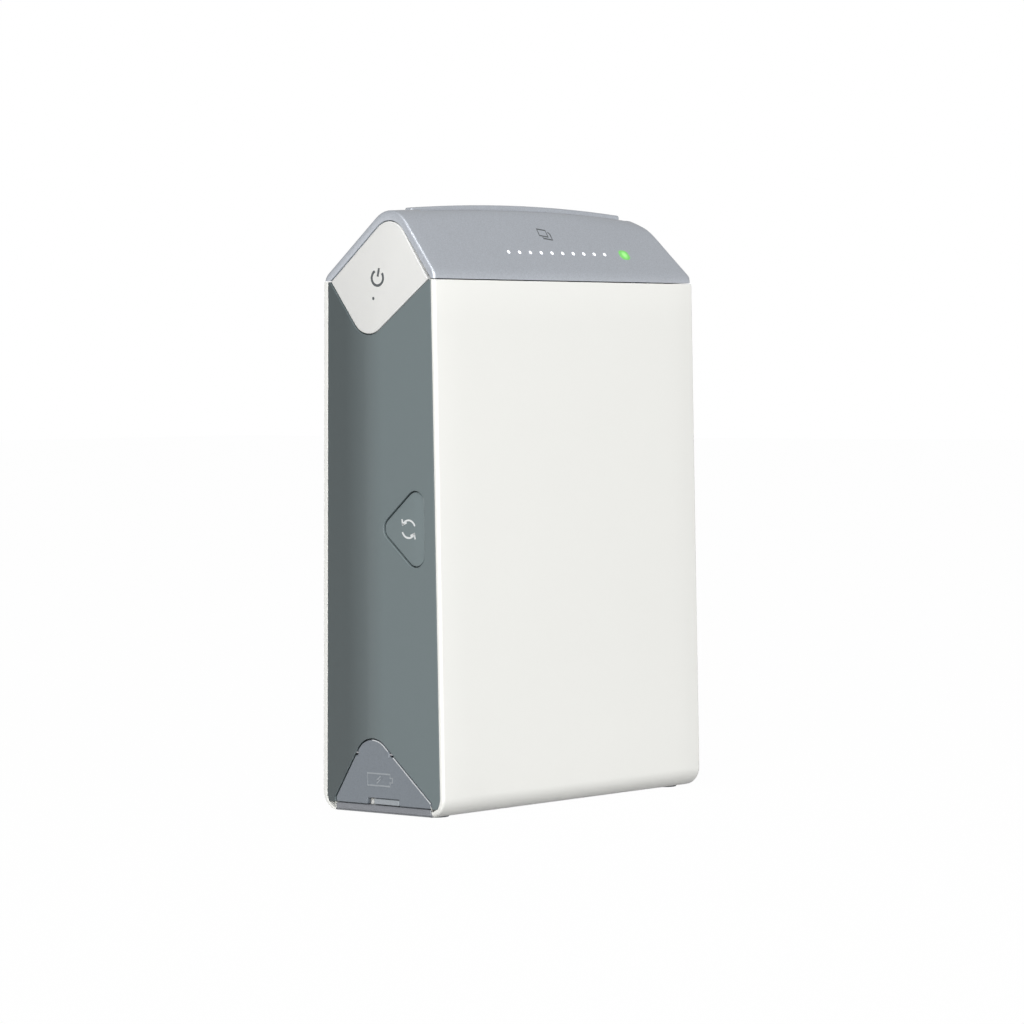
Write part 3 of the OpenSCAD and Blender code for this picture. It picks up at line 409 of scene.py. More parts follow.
def litLens(name, colour, glow, core, strength, reach, centre):
    # a light behind a milky lens: brightest in the middle, and dimmer to its rim
    finish, tree, shader, place = startFinish(name)
    away = place.node("ShaderNodeVectorMath", {"operation": "DISTANCE"},
                      {0: place, 1: tuple(c * mm for c in centre)}, out="Value")
    near = place.node("ShaderNodeMapRange", None,
                      {"Value": away, "From Min": 0.0, "From Max": reach * mm,
                       "To Min": 1.0, "To Max": 0.0})
    cloud = place.noise(place, 0.4, 2)
    plug(shader, {
        "Base Color": cloud.blend(tone(colour, 0.94), tone(colour, 1.0)),
        "Roughness": cloud * 0.1 + 0.3,
        "Emission Color": near.blend((*glow, 1), (*core, 1)),
    })
    shader.inputs["Emission Strength"].default_value = strength
    return finish


# colours are linear
looks = {
    "white": (0.895, 0.895, 0.86),
    # the power key is the case's white made greyer: painted shade, as its face turns up to the lamps
    "key": (0.80, 0.80, 0.78),
    "panel": (0.165, 0.203, 0.210),
    "silver": (0.55, 0.583, 0.635),
    "flap": (0.200, 0.226, 0.256),
    "base": (0.265, 0.275, 0.298),
    "slider": (0.37, 0.40, 0.425),
    "ink": (0.10, 0.11, 0.115),
}
finishes = {
    "case_white": mouldedPlastic("caseWhite", looks["white"], rough=0.42, mottle=0.012,
                                 grain=0.3, depth=0.003),
    "panel_grey": mouldedPlastic("panelGrey", looks["panel"], rough=0.42, mottle=0.03,
                                 grain=0.25, depth=0.006, bow=84.0),
    "roof_silver": silverPaint("roofSilver", looks["silver"], metal=0.5, rough=0.4, lacquer=0.6),
    # the power key's greyer white is painted shade
    "key_white": mouldedPlastic("keyWhiteShaded", looks["key"], rough=0.4, mottle=0.012,
                                grain=0.4, depth=0.002),
    "key_grey": mouldedPlastic("keyGrey", tuple(c * 1.12 for c in looks["panel"]), rough=0.4,
                               mottle=0.03, grain=0.25, depth=0.006),
    "flap_grey": silverPaint("flapGrey", looks["flap"], metal=0.25, rough=0.45, flake=0.2,
                             lacquer=0.6),
    "base_grey": silverPaint("baseGrey", looks["base"], metal=0.25, rough=0.45, flake=0.2),
    "light_white": mouldedPlastic("lightPipe", (0.8, 0.8, 0.78), rough=0.3, grain=0.5,
                                  depth=0.002),
    "light_green": mouldedPlastic("lightGreen", (0.3, 0.7, 0.2), rough=0.3, grain=0.5,
                                  depth=0.002),
    "black_plastic": mouldedPlastic("blackPlastic", (0.02, 0.02, 0.022), rough=0.5, mottle=0.1,
                                    grain=0.3, depth=0.012),
    "smoke_window": clearPlastic("smokeWindow", (0.35, 0.36, 0.37)),
    "rubber_black": softRubber("rubberBlack", (0.03, 0.03, 0.03)),
    "rubber_grey": softRubber("rubberGrey", (0.20, 0.215, 0.225)),
    "roller_rubber": softRubber("rollerRubber", (0.045, 0.045, 0.045)),
    "steel": bareMetal("plainSteel", (0.50, 0.50, 0.52), rough=0.32),
    "steel_bright": bareMetal("brightSteel", (0.62, 0.62, 0.64), rough=0.18),
    "spring_steel": bareMetal("springSteel", (0.42, 0.42, 0.43), rough=0.26, stretch=(8, 8, 1)),
    "brass": bareMetal("turnedBrass", (0.70, 0.50, 0.20), rough=0.25),
    "gear_white": mouldedPlastic("gearWhite", (0.72, 0.72, 0.67), rough=0.38, mottle=0.03),
    "board_green": circuitBoard("boardGreen", (0.012, 0.085, 0.04)),
    "chip_black": mouldedPlastic("chipBlack", (0.02, 0.02, 0.022), rough=0.55, mottle=0.12,
                                 grain=0.15, depth=0.01),
    "chip_yellow": mouldedPlastic("chipYellow", (0.75, 0.68, 0.38), rough=0.3),
    "cell_wrap": silverPaint("cellWrap", (0.30, 0.34, 0.42), metal=0.6, rough=0.35, flake=0.4),
    "flex_amber": mouldedPlastic("flexAmber", (0.45, 0.18, 0.03), rough=0.3, mottle=0.1),
    "lens_clear": clearPlastic("lensClear", (0.9, 0.93, 0.95), rough=0.04),
    "film_black": mouldedPlastic("filmBlack", (0.022, 0.022, 0.024), rough=0.55, mottle=0.1,
                                 grain=0.4, depth=0.015),
    "film_white": mouldedPlastic("filmWhite", (0.78, 0.78, 0.75), rough=0.3, mottle=0.02),
}
ink = mouldedPlastic("printedInk", looks["ink"], rough=0.5, mottle=0.08, depth=0.002)
paleInk = mouldedPlastic("paleInk", (0.78, 0.80, 0.80), rough=0.45, mottle=0.03, depth=0.002)
sliderFinish = silverPaint("sliderSilver", looks["slider"], metal=0.3, rough=0.4)
# pale silver for the flap's edge line: a painted highlight
edgeHighlightFinish = silverPaint("edgeHighlightSilver", (0.68, 0.70, 0.72), metal=0.2, rough=0.35)
slots = {entry["node"]: entry["material_slot"] for entry in frame["record"]["subparts"]}
for node, solid in frame["nodes"].items():
    for slot in solid.material_slots:
        slot.material = finishes[slots[node]]
print("finishes made")

# roof: one skin of columns along X, from hole to hole

roof = {
    "foot": 17.2, "ridgeShift": 4.1, "ridgeHeight": 17.7, "eaveRound": 3.0,
    "crownMiddle": 131.55, "dropLeft": 1.2, "dropRight": 2.25, "roundLeft": 0.6, "roundRight": 1.6,
    "leanFoot": 117.0, "leanFrom": 36.5, "lean": 0.5,
    "bottom": 115.62, "slotHalf": 35.8, "slotFront": -7.0, "slotRear": -2.0, "slotEdge": 0.4,
    "slotDepth": 6.0, "holeDepth": 3.2,
}
powerKey = {
    "half": 14.05, "up": 15.1, "down": 13.4, "skew": 4.1, "round": 5.0, "edge": 0.28,
    "face": 0.03, "iconY": -2.05, "iconZ": 116.0, "iconRadius": 1.65, "stroke": 0.6,
    "iconTurn": -13.0, "dotY": -0.8, "dotZ": 111.6, "dotRadius": 0.34,
}
frontSlope = roof["ridgeHeight"] / (roof["foot"] - roof["ridgeShift"])
rearSlope = roof["ridgeHeight"] / (roof["foot"] + roof["ridgeShift"])
slopeAngle = math.atan(frontSlope)
ridgePoint = Vector((case["middle"] - roof["ridgeShift"], case["seam"] + roof["ridgeHeight"]))


def eavePoint(slope, side):
    rise = roof["foot"] - (case["rearFoot"] - case["frontFoot"]) / 2
    z = (case["seam"] + rise * slope) / (1 - slope * case["lean"] / case["seam"])
    return Vector((frontAt(z) if side < 0 else rearAt(z), z))


def roofRows(x):
    # points and outward normals from the front wall's foot over the ridge to the rear one
    eaves = eavePoint(frontSlope, -1), eavePoint(rearSlope, 1)
    corners = [Vector((frontAt(0), 0)), Vector((rearAt(0), 0)), eaves[1], ridgePoint, eaves[0]]
    share = min(abs(x) / case["halfWidth"], 1)
    top = roof["crownMiddle"] - roof["dropLeft" if x < 0 else "dropRight"] * share ** 2
    here, a, b, cross, angle = cornerData(corners, 3)
    ridge = (ridgePoint.y - top) / (1 / math.sin(angle / 2) - 1)
    rows = [(Vector((frontAt(roof["bottom"]), roof["bottom"])), Vector((-1, 0.0139)))]

    def eaveArc(i, backwards):
        here, a, b, cross, angle = cornerData(corners, i)
        centre = here + (a + b) * roof["eaveRound"] / cross
        start = here + a * roof["eaveRound"] / math.tan(angle / 2) - centre
        arc = [Matrix.Rotation((math.pi - angle) * k / 6, 2) @ start for k in range(7)]
        arc = [(centre + p, p.normalized()) for p in arc]
        return arc[::-1] if backwards else arc

    rows += eaveArc(4, True)
    centre = ridgePoint + (a + b) * ridge / cross
    rearTouch = ridgePoint.x + abs(a.x) * ridge / math.tan(angle / 2)
    frontTouch = ridgePoint.x - abs(b.x) * ridge / math.tan(angle / 2)
    for y in (-17.0, -16.0, -15.0, -13.5, -12.0, -10.8, -9.8, -9.0, -8.4, -7.9, -7.4, -7.0, -6.5,
              -6.0, -5.4, -4.8, -4.0, -3.2, -2.4, -1.6, -0.6, 0.6, 2.5, 5.0, 8.0, 10.5):
        if y < frontTouch:
            z = ridgePoint.y - (ridgePoint.x - y) * frontSlope
            normal = Vector((-math.sin(slopeAngle), math.cos(slopeAngle)))
        elif y > rearTouch:
            z = ridgePoint.y - (y - ridgePoint.x) * rearSlope
            normal = Vector((math.sin(math.atan(rearSlope)), math.cos(math.atan(rearSlope))))
        else:
            z = centre.y + math.sqrt(ridge ** 2 - (y - centre.x) ** 2)
            normal = (Vector((y, z)) - centre).normalized()
        rows.append((Vector((y, z)), normal))
    rows += eaveArc(2, True)
    rows.append((Vector((rearAt(roof["bottom"]), roof["bottom"])), Vector((1, 0.0139))))
    return rows


def powerOutline():
    return [(case["middle"] + powerKey["skew"], case["seam"] - powerKey["down"]),
            (case["middle"] + powerKey["half"], case["seam"]),
            (case["middle"] - powerKey["skew"], case["seam"] + powerKey["up"]),
            (case["middle"] - powerKey["half"], case["seam"])]


def roofColumn(x, inset):
    column = []
    for point, normal in roofRows(x):
        p = point - normal * inset
        column.append((x, p.x, max(p.y, roof["bottom"])))
    column[0] = (x, column[0][1], roof["bottom"])
    column[-1] = (x, column[-1][1], roof["bottom"])
    under = min(1.6, 2.1 - inset)
    front = (x, column[0][1] + max(under, 0.15), roof["bottom"])
    rear = (x, column[-1][1] - max(under, 0.15), roof["bottom"])
    return [front] + column + [rear]


def holeColumn(x, grow, outer):
    # the power key's hole, its points spread as the rim's outer points are
    radii = [powerKey["round"], 0, powerKey["round"], 0]
    outline = roundOutline(powerOutline(), radii, -grow, 16)
    upper = [p for p in outline if p.y >= roof["bottom"]]
    upper.sort(key=lambda p: p.x)
    edge = upper[0].copy()
    upper = [Vector((edge.x + (roof["bottom"] - edge.y) / frontSlope, roof["bottom"]))] + upper
    edge = upper[-1].copy()
    upper.append(Vector((edge.x + (edge.y - roof["bottom"]) / rearSlope, roof["bottom"])))
    shares = [0.0]
    for p, q in zip(upper, upper[1:]):
        shares.append(shares[-1] + (q - p).length)
    path = [Vector(p[1:]) for p in outer[1:-1]]
    walked = [0.0]
    for p, q in zip(path, path[1:]):
        walked.append(walked[-1] + (q - p).length)
    column = []
    for w in walked:
        at = shares[-1] * w / walked[-1]
        k = max(i for i in range(len(shares) - 1) if shares[i] <= at + 1e-9)
        t = (at - shares[k]) / (shares[k + 1] - shares[k])
        p = upper[k].lerp(upper[k + 1], min(t, 1))
        column.append((x, p.x, p.y))
    return [column[0]] + column + [column[-1]]


def leaned(point):
    # the right end leans in above the eaves
    x, y, z = point
    share = min(max((x - roof["leanFrom"]) / (case["halfWidth"] - roof["leanFrom"]), 0), 1)
    return (x - roof["lean"] * max(z - roof["leanFoot"], 0) * share, y, z)


def makeRoof():
    half = case["halfWidth"]
    left = []
    rim = roofColumn(-half, roof["roundLeft"])
    for x, grow in ((-half + roof["holeDepth"], 0.2), (-half + 0.2, 0.2), (-half + 0.06, 0.26),
                    (-half, 0.4)):
        left.append(holeColumn(x, grow, rim))
    for k in range(7):
        a = math.radians(90) * k / 6
        left.append(roofColumn(-half + roof["roundLeft"] * (1 - math.cos(a)),
                               roof["roundLeft"] * (1 - math.sin(a))))
    inner = [-41.5, -39, -roof["slotHalf"] - roof["slotEdge"], -33, -28, -22, -15, -7.5]
    left += [roofColumn(x, 0) for x in inner]
    right = [roofColumn(-x, 0) for x in reversed(inner)]
    for k in range(6, -1, -1):
        a = math.radians(90) * k / 6
        right.append(roofColumn(half - roof["roundRight"] * (1 - math.cos(a)),
                                roof["roundRight"] * (1 - math.sin(a))))
    # the right end closes at the ridge's depth
    right.append([(x, ridgePoint.x, z) for x, y, z in right[-1]])
    columns = [[leaned(p) for p in column] for column in left + [roofColumn(0, 0)] + right]
    count = len(columns[0])
    first = len(left) - len(inner) + 2
    last = 2 * len(left) - first
    rows = [i for i, p in enumerate(columns[first])
            if abs(p[1] - (roof["slotFront"] - 0.4)) < 1e-6 or abs(p[1] - (roof["slotRear"] + 0.4)) < 1e-6]
    top, end = rows[0], rows[-1]
    vertices = [p for column in columns for p in column]
    faces = []
    for c in range(len(columns) - 1):
        for r in range(count - 1):
            if first <= c < last and top <= r < end:
                continue
            a = c * count + r
            faces.append((a, a + 1, a + 1 + count, a + count))
    # the slot's edge turns over and goes down
    loop = [(c, top) for c in range(first, last)] + [(last, r) for r in range(top, end)]
    loop += [(c, end) for c in range(last, first, -1)] + [(first, r) for r in range(end, top, -1)]
    edge = roof["slotEdge"]
    rings = [[c * count + r for c, r in loop]]
    for k in range(1, 7):
        a = math.radians(min(k, 5) * 18)
        drop = edge * (1 - math.cos(a)) if k < 6 else roof["slotDepth"]
        start = len(vertices)
        for c, r in loop:
            x, y, z = columns[c][r]
            x += edge * math.sin(a) * ((c == first) - (c == last))
            y += edge * math.sin(a) * ((r == top) - (r == end))
            vertices.append((x, y, z - drop))
        rings.append(list(range(start, len(vertices))))
    for upper, lower in zip(rings, rings[1:]):
        for i in range(len(loop)):
            j = (i + 1) % len(loop)
            faces.append((upper[i], upper[j], lower[j], lower[i]))
    return newPiece("roofSkin", vertices, faces, 40)


finishPiece(makeRoof(), finishes["roof_silver"], "roof_silver", "body", "top_cap")
finishPiece(softCopy("exit_lip", "slotBar", 0.45, 4), finishes["roof_silver"], "roof_silver",
            "body", "exit_lip")
print("roof made")

# front shell: a bent skin with a rolled edge on each side

shell = {"sideRound": 0.75, "topEdge": 0.2, "innerWall": 1.7}


def shellRows(side):
    # from the seam down to the base plate, as points, outward normals and extra inset
    at = frontAt if side < 0 else rearAt
    seam, ground = case["seam"], case["ground"]
    ends = [Vector((at(seam), seam)), Vector((at(ground), ground)), Vector((case["middle"], ground))]
    down, along = (ends[1] - ends[0]).normalized(), (ends[2] - ends[1]).normalized()
    out = Vector((down.y, -down.x)) if side < 0 else Vector((-down.y, down.x))
    out = out if out.x * side > 0 else -out
    edge = shell["topEdge"]
    rows = [(ends[0], out, shell["innerWall"])]
    for k in range(4):
        a = math.radians(30 * k)
        rows.append((ends[0] + down * edge * (1 - math.cos(a)), out, edge * (1 - math.sin(a))))
    turn = down.angle(along)
    reach = case["footRound"] * math.tan(turn / 2)
    bend = ends[1] - down * reach
    for k in range(1, 12):
        rows.append((ends[0].lerp(bend, k / 12), out, 0))
    centre = bend - out * case["footRound"]
    limit = case["middle"] + side * case["baseHalf"]
    steps = 14
    for k in range(steps + 1):
        a = turn * k / steps
        normal = out * math.cos(a) + down * math.sin(a)
        p = centre + normal * case["footRound"]
        if (p.x - limit) * side < 0:
            break
        rows.append((p, normal, 0))
    rows.append((rows[-1][0], rows[-1][1], 1.4))
    return rows


def shellColumn(rows, x, inset):
    column = []
    for i, (point, normal, extra) in enumerate(rows):
        p = point - normal * (inset + extra)
        column.append((x, p.x, case["seam"] if i < 2 else p.y))
    return column


def makeShell(name, side):
    half, lip, r = case["halfWidth"], case["edgeLip"], shell["sideRound"]
    rows = shellRows(side)
    levels = [(-half + case["panelDepth"], lip), (-half + 0.15, lip), (-half + 0.04, lip - 0.04),
              (-half, lip - 0.15)]
    for k in range(7):
        a = math.radians(15 * k)
        levels.append((-half + r * (1 - math.cos(a)), r * (1 - math.sin(a))))
    levels += [(x, 0) for x in (-36, -24, -12)]
    columns = [shellColumn(rows, x, inset) for x, inset in levels]
    columns.append(shellColumn(rows, 0, 0))
    columns += [[(-x, y, z) for x, y, z in c] for c in reversed(columns[:-1])]
    return gridPiece(name, columns, sharpAngle=40)


finishPiece(makeShell("frontSkin", -1), finishes["case_white"], "case_white", "body",
            "front_shell")

# side panels, the keys on them and the charging flap

panel = {"gap": 0.05, "edge": 0.18}
reprintKey = {
    "z": 62.0, "edgeY": 12.4, "depth": 12.7, "height": 22.0, "round": 2.5, "sunk": 0.3,
    "edge": 0.3, "iconRadius": 1.9, "stroke": 0.42,
}
flap = {
    "half": 13.85, "low": 2.1, "top": 18.9, "skew": 4.1, "cheek": 1.2, "round": 5.1,
    "edge": 0.32, "face": 0.08, "notchHalf": 4.6, "notchTop": 3.5, "iconY": -1.5, "iconZ": 7.6,
    "hingeZ": 13.234, "roomAbove": 0.5, "roomBelow": 0.6,
}


powerRadii = [powerKey["round"], 0, powerKey["round"], 0]
flapRadii = [0, 0, 0, flap["round"], 0]


def panelOutline():
    low, lip = case["ground"] + 0.3, case["edgeLip"] + panel["gap"]
    top = case["seam"] - 0.05
    return [(frontAt(low) + lip, low), (rearAt(low) - lip, low),
            (rearAt(top) - lip, top), (frontAt(top) + lip, top)]


def reprintOutline():
    edge = case["middle"] - reprintKey["edgeY"]
    return [(edge, reprintKey["z"] - reprintKey["height"] / 2),
            (edge + reprintKey["depth"], reprintKey["z"]),
            (edge, reprintKey["z"] + reprintKey["height"] / 2)]


def flapOutline():
    middle, half, low = case["middle"], flap["half"], flap["low"]
    return [(middle - half, low), (middle + half, low), (middle + half, low + flap["cheek"]),
            (middle + flap["skew"], flap["top"]), (middle - half, low + flap["cheek"])]


def makePanel(name, withKeys):
    half, skin = case["halfWidth"], case["halfWidth"] - case["panelDepth"]
    outline = roundOutline(panelOutline(), [3.1, 3.1, 0, 0], 0, 12)
    piece = prism(name, outline, -half, -skin)
    gap = -0.2
    bottom = case["baseTop"] + 0.05
    cutters = [prism("cut", [(-40, -1), (40, -1), (40, bottom), (-40, bottom)],
                     -half - 1, -skin + 1)]
    if withKeys:
        cutters.append(prism("cut", roundOutline(powerOutline(), powerRadii, gap, 12),
                             -half - 1, -skin + 1))
        cutters.append(prism("cut", roundOutline(reprintOutline(), [2.5] * 3, gap, 12),
                             -half - 1, -skin + 1))
        cutters.append(prism("cut", roundOutline(flapOutline(), flapRadii, gap, 14),
                             -half - 1, -skin + 1))
    carve(piece, *cutters)
    softenEdges(piece, panel["edge"], 3)
    if not withKeys:
        piece.data.transform(Matrix.Scale(-1, 4, (1, 0, 0)))
        piece.data.flip_normals()
    return piece


finishPiece(makePanel("sidePanelLeft", True), finishes["panel_grey"], "panel_grey", "body",
            "left_panel")
finishPiece(makePanel("sidePanelRight", False), finishes["panel_grey"], "panel_grey", "body",
            "right_panel")

half = case["halfWidth"]
skin = half - case["panelDepth"]
powerFace = -half + powerKey["face"]
finishPiece(slab("powerKey", powerOutline(), powerRadii,
                 edgeLevels(-half + 2.6, powerFace, powerKey["edge"]), 12),
            finishes["key_white"], "key_white", "power_button", "power_button")
reprintFace = -half + reprintKey["sunk"]
finishPiece(slab("reprintKey", reprintOutline(), [reprintKey["round"]] * 3,
                 edgeLevels(-skin + 0.8, reprintFace, reprintKey["edge"]), 12),
            finishes["key_grey"], "key_grey", "reprint_button", "reprint_button")


def onSide(face, middleY, middleZ):
    # a drawing on the left side: u runs to the front, v up
    return lambda u, v, h: (face - h, middleY - u, middleZ + v)


def arcPath(radius, start, end, steps=24, x=0, y=0):
    return [(x + radius * math.cos(math.radians(start + (end - start) * k / steps)),
             y + radius * math.sin(math.radians(start + (end - start) * k / steps)))
            for k in range(steps + 1)]


def powerIcon():
    r, turn = powerKey["iconRadius"], powerKey["iconTurn"]
    stem = Matrix.Rotation(math.radians(turn), 2)
    paths = [arcPath(r, turn + 130, turn + 410), [stem @ Vector((0, 0.3)),
                                                  stem @ Vector((0, r + 0.5))]]
    return ribbon("powerIcon", paths, powerKey["stroke"],
                  onSide(powerFace + 0.005, powerKey["iconY"], powerKey["iconZ"]), height=0.02)


def reprintIcon():
    # two arrows chasing each other round
    r = reprintKey["iconRadius"]
    paths = []
    for turn in (0, 180):
        paths.append(arcPath(r, turn + 20, turn + 150))
        tip = math.radians(turn + 152)
        point = Vector((r * math.cos(tip), r * math.sin(tip)))
        back = Vector((math.sin(tip), -math.cos(tip)))
        out = Vector((math.cos(tip), math.sin(tip)))
        paths.append([point + back * 1.0 + out * 0.75, point, point + back * 1.0 - out * 0.75])
    y = case["middle"] - reprintKey["edgeY"] + reprintKey["depth"] * 0.36
    return ribbon("reprintIcon", paths, reprintKey["stroke"],
                  onSide(reprintFace + 0.005, y, reprintKey["z"]), height=0.02)


finishPiece(powerIcon(), ink, "key_white", "power_button")
finishPiece(reprintIcon(), paleInk, "key_white", "reprint_button")


def flapEdge(side, z):
    # the flap's front (-1) or rear (1) edge at a height
    foot = flap["low"] + flap["cheek"]
    share = (z - foot) / (flap["top"] - foot)
    return case["middle"] + side * flap["half"] * (1 - share) + flap["skew"] * share


def makeFlap():
    outline = roundOutline(flapOutline(), flapRadii, 0, 14)
    piece = prism("chargeFlap", outline, -half + flap["face"], -skin)
    y = case["middle"]
    notch = prism("cut", [(y - flap["notchHalf"], 0), (y + flap["notchHalf"], 0),
                          (y + flap["notchHalf"], flap["notchTop"]),
                          (y - flap["notchHalf"], flap["notchTop"])], -half - 1, -skin + 1)
    # room at both ends of the hinge, where the edge turns into the narrower opening
    high, low = flap["hingeZ"] + flap["roomAbove"], flap["hingeZ"] - flap["roomBelow"]
    rooms = []
    for side in (-1, 1):
        edge = flapEdge(side, high)
        y0, y1 = sorted((edge, edge + side * 5))
        rooms.append(prism("cut", [(y0, low), (y1, low), (y1, high), (y0, high)],
                           -half - 1, -skin + 1))
    return softenEdges(carve(piece, notch, *rooms), flap["edge"], 3)


finishPiece(makeFlap(), finishes["flap_grey"], "flap_grey", "charge_flap", "charge_flap")
finishPiece(softCopy("flap_lock", "flapSlider", 0.18, 3), sliderFinish, "roof_silver",
            "flap_lock", "flap_lock")


def chargeIcon():
    # a raised cell with a bolt in it, drawn in paler silver than the flap as a painted highlight on its
    # strokes
    cell = [(-3.6, -1.3), (3.0, -1.3), (3.0, -0.5), (3.7, -0.5), (3.7, 0.5), (3.0, 0.5), (3.0, 1.3),
            (-3.6, 1.3)]
    bolt = [(0.25, 0.8), (-0.9, -0.15), (0.3, 0.15), (-0.85, -0.8)]
    place = onSide(-half + flap["face"] + 0.005, flap["iconY"], flap["iconZ"])
    return (ribbon("flapCell", [cell], 0.34, place, closed=True, height=0.075),
            ribbon("flapBolt", [bolt], 0.34, place, height=0.075))


# the icon's paler silver is a painted highlight on the raised strokes
for drawing in chargeIcon():
    finishPiece(drawing, sliderFinish, "flap_grey", "charge_flap")


def flapEdgeHighlight():
    # a raised line along the flap's front edge, from its top to the corner; its pale silver is a painted
    # highlight on the edge
    outline = roundOutline(flapOutline(), flapRadii, flap["edge"] * 0.6, 14)
    top = max(range(len(outline)), key=lambda i: outline[i][1])
    line, i = [outline[top]], top
    step = 1 if outline[(top + 1) % len(outline)][0] < outline[top][0] else -1
    while line[-1][1] > flap["low"] + flap["cheek"] + 0.6:
        i = (i + step) % len(outline)
        line.append(outline[i])
    (y0, z0), (y1, z1) = line[-2], line[-1]
    ends = [flap["hingeZ"] + flap["roomAbove"] + 0.1, flap["hingeZ"] - flap["roomBelow"] - 0.1]
    above, below = ((y0 + (y1 - y0) * (z - z0) / (z1 - z0), z) for z in ends)
    return ribbon("flapEdgeHighlight", [line[:-1] + [above], [below, (y1, z1)]], 0.26,
                  lambda y, z, h: (-half + flap["face"] + 0.2 - h, y, z), height=0.19)


# the flap's pale edge line, a painted highlight
finishPiece(flapEdgeHighlight(), edgeHighlightFinish, "flap_grey", "charge_flap")
print("sides made")

# lights and icon on the front slope

lamps = {
    "rowY": -14.8633, "rowZ": 121.8, "pitch": 3.7, "count": 10, "shift": 0.54,
    "radius": 0.44, "statusX": 24.2, "statusWide": 1.72, "statusHigh": 1.35,
    "iconU": 5.35,
}


def onSlope(x, up=0.0):
    # a drawing on the front slope: u to the right, v up the slope, h out of it
    def place(u, v, h):
        v += up
        return (x + u, lamps["rowY"] + v * math.cos(slopeAngle) - h * math.sin(slopeAngle),
                lamps["rowZ"] + v * math.sin(slopeAngle) + h * math.cos(slopeAngle))
    return place


def lensPiece(name, spots, wide, high, square, rise=0.09):
    # low domes of rounded outline, one at each place
    vertices, faces = [], []
    around = 28
    for place in spots:
        rings = []
        for share, h in ((1.0, -6), (1.0, 0.17), (0.93, 0.55), (0.7, 0.83), (0.35, 1.0)):
            start = len(vertices)
            for k in range(around):
                a = 2 * math.pi * k / around
                c, s = math.cos(a), math.sin(a)
                u = abs(c) ** square * math.copysign(wide, c)
                v = abs(s) ** square * math.copysign(high, s)
                vertices.append(place(u * share, v * share, h * rise))
            rings.append(range(start, start + around))
        for lower, upper in zip(rings, rings[1:]):
            for k in range(around):
                j = (k + 1) % around
                faces.append((lower[k], lower[j], upper[j], upper[k]))
        faces += [tuple(rings[0]), tuple(rings[-1])]
    return newPiece(name, vertices, faces, 50)


spots = [onSlope((i - (lamps["count"] - 1) / 2) * lamps["pitch"] + lamps["shift"])
         for i in range(lamps["count"])]
counterGlow = litLens("counterGlow", (0.9, 0.9, 0.9), (0.75, 0.78, 0.82), (0.9, 0.95, 1.0), 0.9,
                      60, (0, lamps["rowY"], lamps["rowZ"]))
finishPiece(lensPiece("counterLamps", spots, lamps["radius"], lamps["radius"], 1.0),
            counterGlow, "light_white", "body", "counter_lights")
statusGlow = litLens("statusGlow", (0.2, 0.5, 0.15), (0.04, 0.27, 0.03), (0.40, 0.95, 0.28), 0.8,
                     1.15, (lamps["statusX"], lamps["rowY"], lamps["rowZ"]))
finishPiece(lensPiece("statusLamp", [onSlope(lamps["statusX"])], lamps["statusWide"],
                      lamps["statusHigh"], 0.8),
            statusGlow, "light_green", "body", "status_light")


powerDot = onSide(powerFace, powerKey["dotY"], powerKey["dotZ"])
finishPiece(lensPiece("powerDot", [powerDot], powerKey["dotRadius"], powerKey["dotRadius"], 1.0,
                      0.028),
            ink, "light_white", "power_button", "power_light_pipe")


def filmIcon():
    # a small stack of sheets
    def card(u, v, w, h):
        return [(u - w, v - h), (u + w, v - h), (u + w, v + h), (u - w, v + h)]
    place = onSlope(-0.2, lamps["iconU"])
    tilt = math.radians(-8)

    def turned(u, v, h):
        return place(u * math.cos(tilt) - v * math.sin(tilt),
                     u * math.sin(tilt) + v * math.cos(tilt), h + 0.005)
    outline = ribbon("filmIcon", [card(-0.45, 0.25, 1.35, 0.92)], 0.44, turned, closed=True,
                     height=0.02)
    back = ribbon("filmIconBack", [[(1.45, 0.75), (1.95, 0.35), (1.95, -1.35), (-0.9, -1.35),
                                    (-0.9, -1.0)]], 0.42, turned, height=0.02)
    return outline, back


for drawing in filmIcon():
    finishPiece(drawing, ink, "roof_silver", "body")
print("lights made")

# the other outside pieces keep the solids' forms, with their edges broken

broken = {
    "rear_shell": ("rearSkin", "case_white", "body", 0.15),
    "film_door": ("filmDoor", "case_white", "film_door", 0.25),
    "door_lock": ("doorSlider", "roof_silver", "door_lock", 0.2),
    "base_plate": ("basePlate", "base_grey", "body", 0.35),
    "rubber_feet": ("rubberFeet", "rubber_grey", "body", 0.2),
}
for node, (name, slot, body, width) in broken.items():
    finishPiece(softCopy(node, name, width), finishes[slot], slot, body, node)
print("back made")

# stage, lamps and camera

stage = {
    "floorSeen": 0.85, "floorBounce": 0.22, "whiteShare": 0.985, "horizon": 0.5, "zenith": 0.25,
}
softBoxes = {
    "keyBox": {"place": (-0.4, -1.7, 0.55), "size": (1.2, 1.0), "power": 13.6},
    "sideBox": {"place": (-1.5, -0.75, 0.57), "size": (0.7, 0.9), "power": 18.0},
    "topBox": {"place": (-0.8, -0.7, 1.6), "size": (0.5, 0.5), "power": 5.0},
}
view = {
    "place": (-0.6876, -0.58683, 0.0950), "sensor": 36.0, "lens": 141.64,
    "right": (0.64796, -0.76164, -0.00730), "ahead": (0.76105, 0.64779, -0.03410),
}


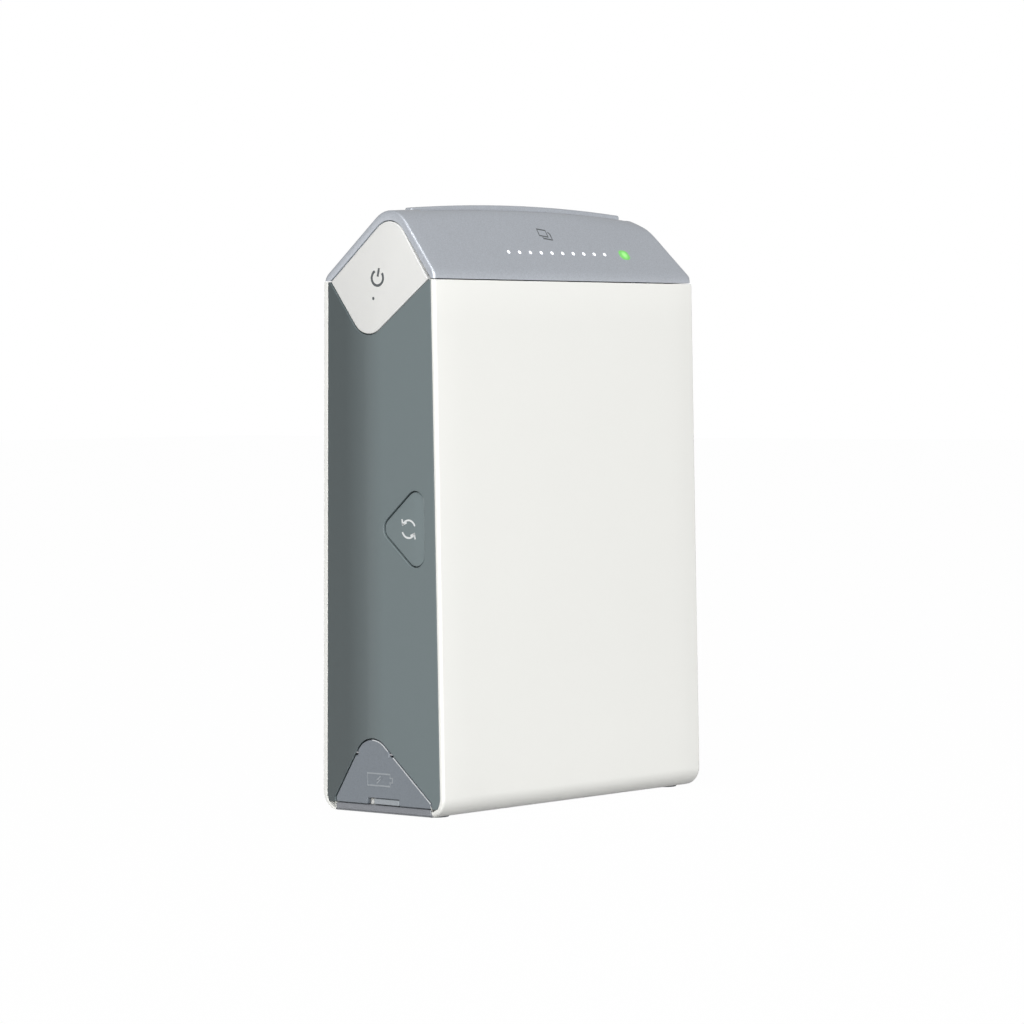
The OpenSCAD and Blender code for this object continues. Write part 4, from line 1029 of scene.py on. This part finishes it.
def makeFloor():
    bpy.ops.mesh.primitive_plane_add(size=8, location=(0, 0, 0))
    floor = bpy.context.object
    floor.name = "floor"
    finish, tree, shader, place = startFinish("floorPaper")
    shader.inputs["Roughness"].default_value = 0.9
    start = Wire(tree)
    seen = start.node("ShaderNodeLightPath", out="Is Camera Ray")
    plug(shader, {"Base Color": seen.blend(tone([stage["floorBounce"]] * 3, 1),
                                           tone([stage["floorSeen"]] * 3, 1))})
    shiny = start.node("ShaderNodeLightPath", out="Is Glossy Ray")
    clear = start.node("ShaderNodeLightPath", out="Is Transmission Ray")
    glow = start.node("ShaderNodeEmission", None, {"Color": (1, 1, 1, 1), "Strength": 1.0})
    body = Wire(tree, shader.outputs[0])
    share = (seen + shiny + clear) * stage["whiteShare"]
    mixed = start.node("ShaderNodeMixShader", None, {0: share, 1: body, 2: glow})
    tree.links.new(mixed.socket, tree.nodes["Material Output"].inputs["Surface"])
    floor.data.materials.append(finish)


def makeWorld():
    world = bpy.data.worlds.new("studio")
    bpy.context.scene.world = world
    world.use_nodes = True
    tree = world.node_tree
    start = Wire(tree)
    seen = start.node("ShaderNodeLightPath", out="Is Camera Ray")
    clear = start.node("ShaderNodeLightPath", out="Is Transmission Ray")
    way = start.node("ShaderNodeTexCoord", out="Generated")
    height = start.node("ShaderNodeSeparateXYZ", None, {"Vector": way}, out="Z")
    height = start.reckon("MAXIMUM", height, 0.0)
    sky = height * (stage["zenith"] - stage["horizon"]) + stage["horizon"]
    shown = start.reckon("MINIMUM", seen + clear, 1.0)
    strength = shown * (1 - sky) + sky
    background = tree.nodes["Background"]
    background.inputs["Color"].default_value = (1, 1, 1, 1)
    tree.links.new(strength.socket, background.inputs["Strength"])


def softBox(name, place, size, power):
    data = bpy.data.lights.new(name, "AREA")
    data.shape, data.size, data.size_y, data.energy = "RECTANGLE", size[0], size[1], power
    lamp = bpy.data.objects.new(name, data)
    lamp.location = place
    aim = Vector((0, 0, 0.07)) - Vector(place)
    lamp.rotation_euler = aim.to_track_quat("-Z", "Y").to_euler()
    bpy.context.scene.collection.objects.link(lamp)


def makeCamera():
    data = bpy.data.cameras.new("camera")
    data.sensor_width, data.lens = view["sensor"], view["lens"]
    camera = bpy.data.objects.new("camera", data)
    right, ahead = Vector(view["right"]), Vector(view["ahead"])
    up = right.cross(ahead)
    turn = Matrix((right, up, -ahead)).transposed().to_4x4()
    camera.matrix_world = Matrix.Translation(view["place"]) @ turn
    bpy.context.scene.collection.objects.link(camera)
    bpy.context.scene.camera = camera


makeFloor()
makeWorld()
for name, box in softBoxes.items():
    softBox(name, box["place"], box["size"], box["power"])
makeCamera()
bpy.context.scene.view_settings.view_transform = "Standard"
print("stage made")
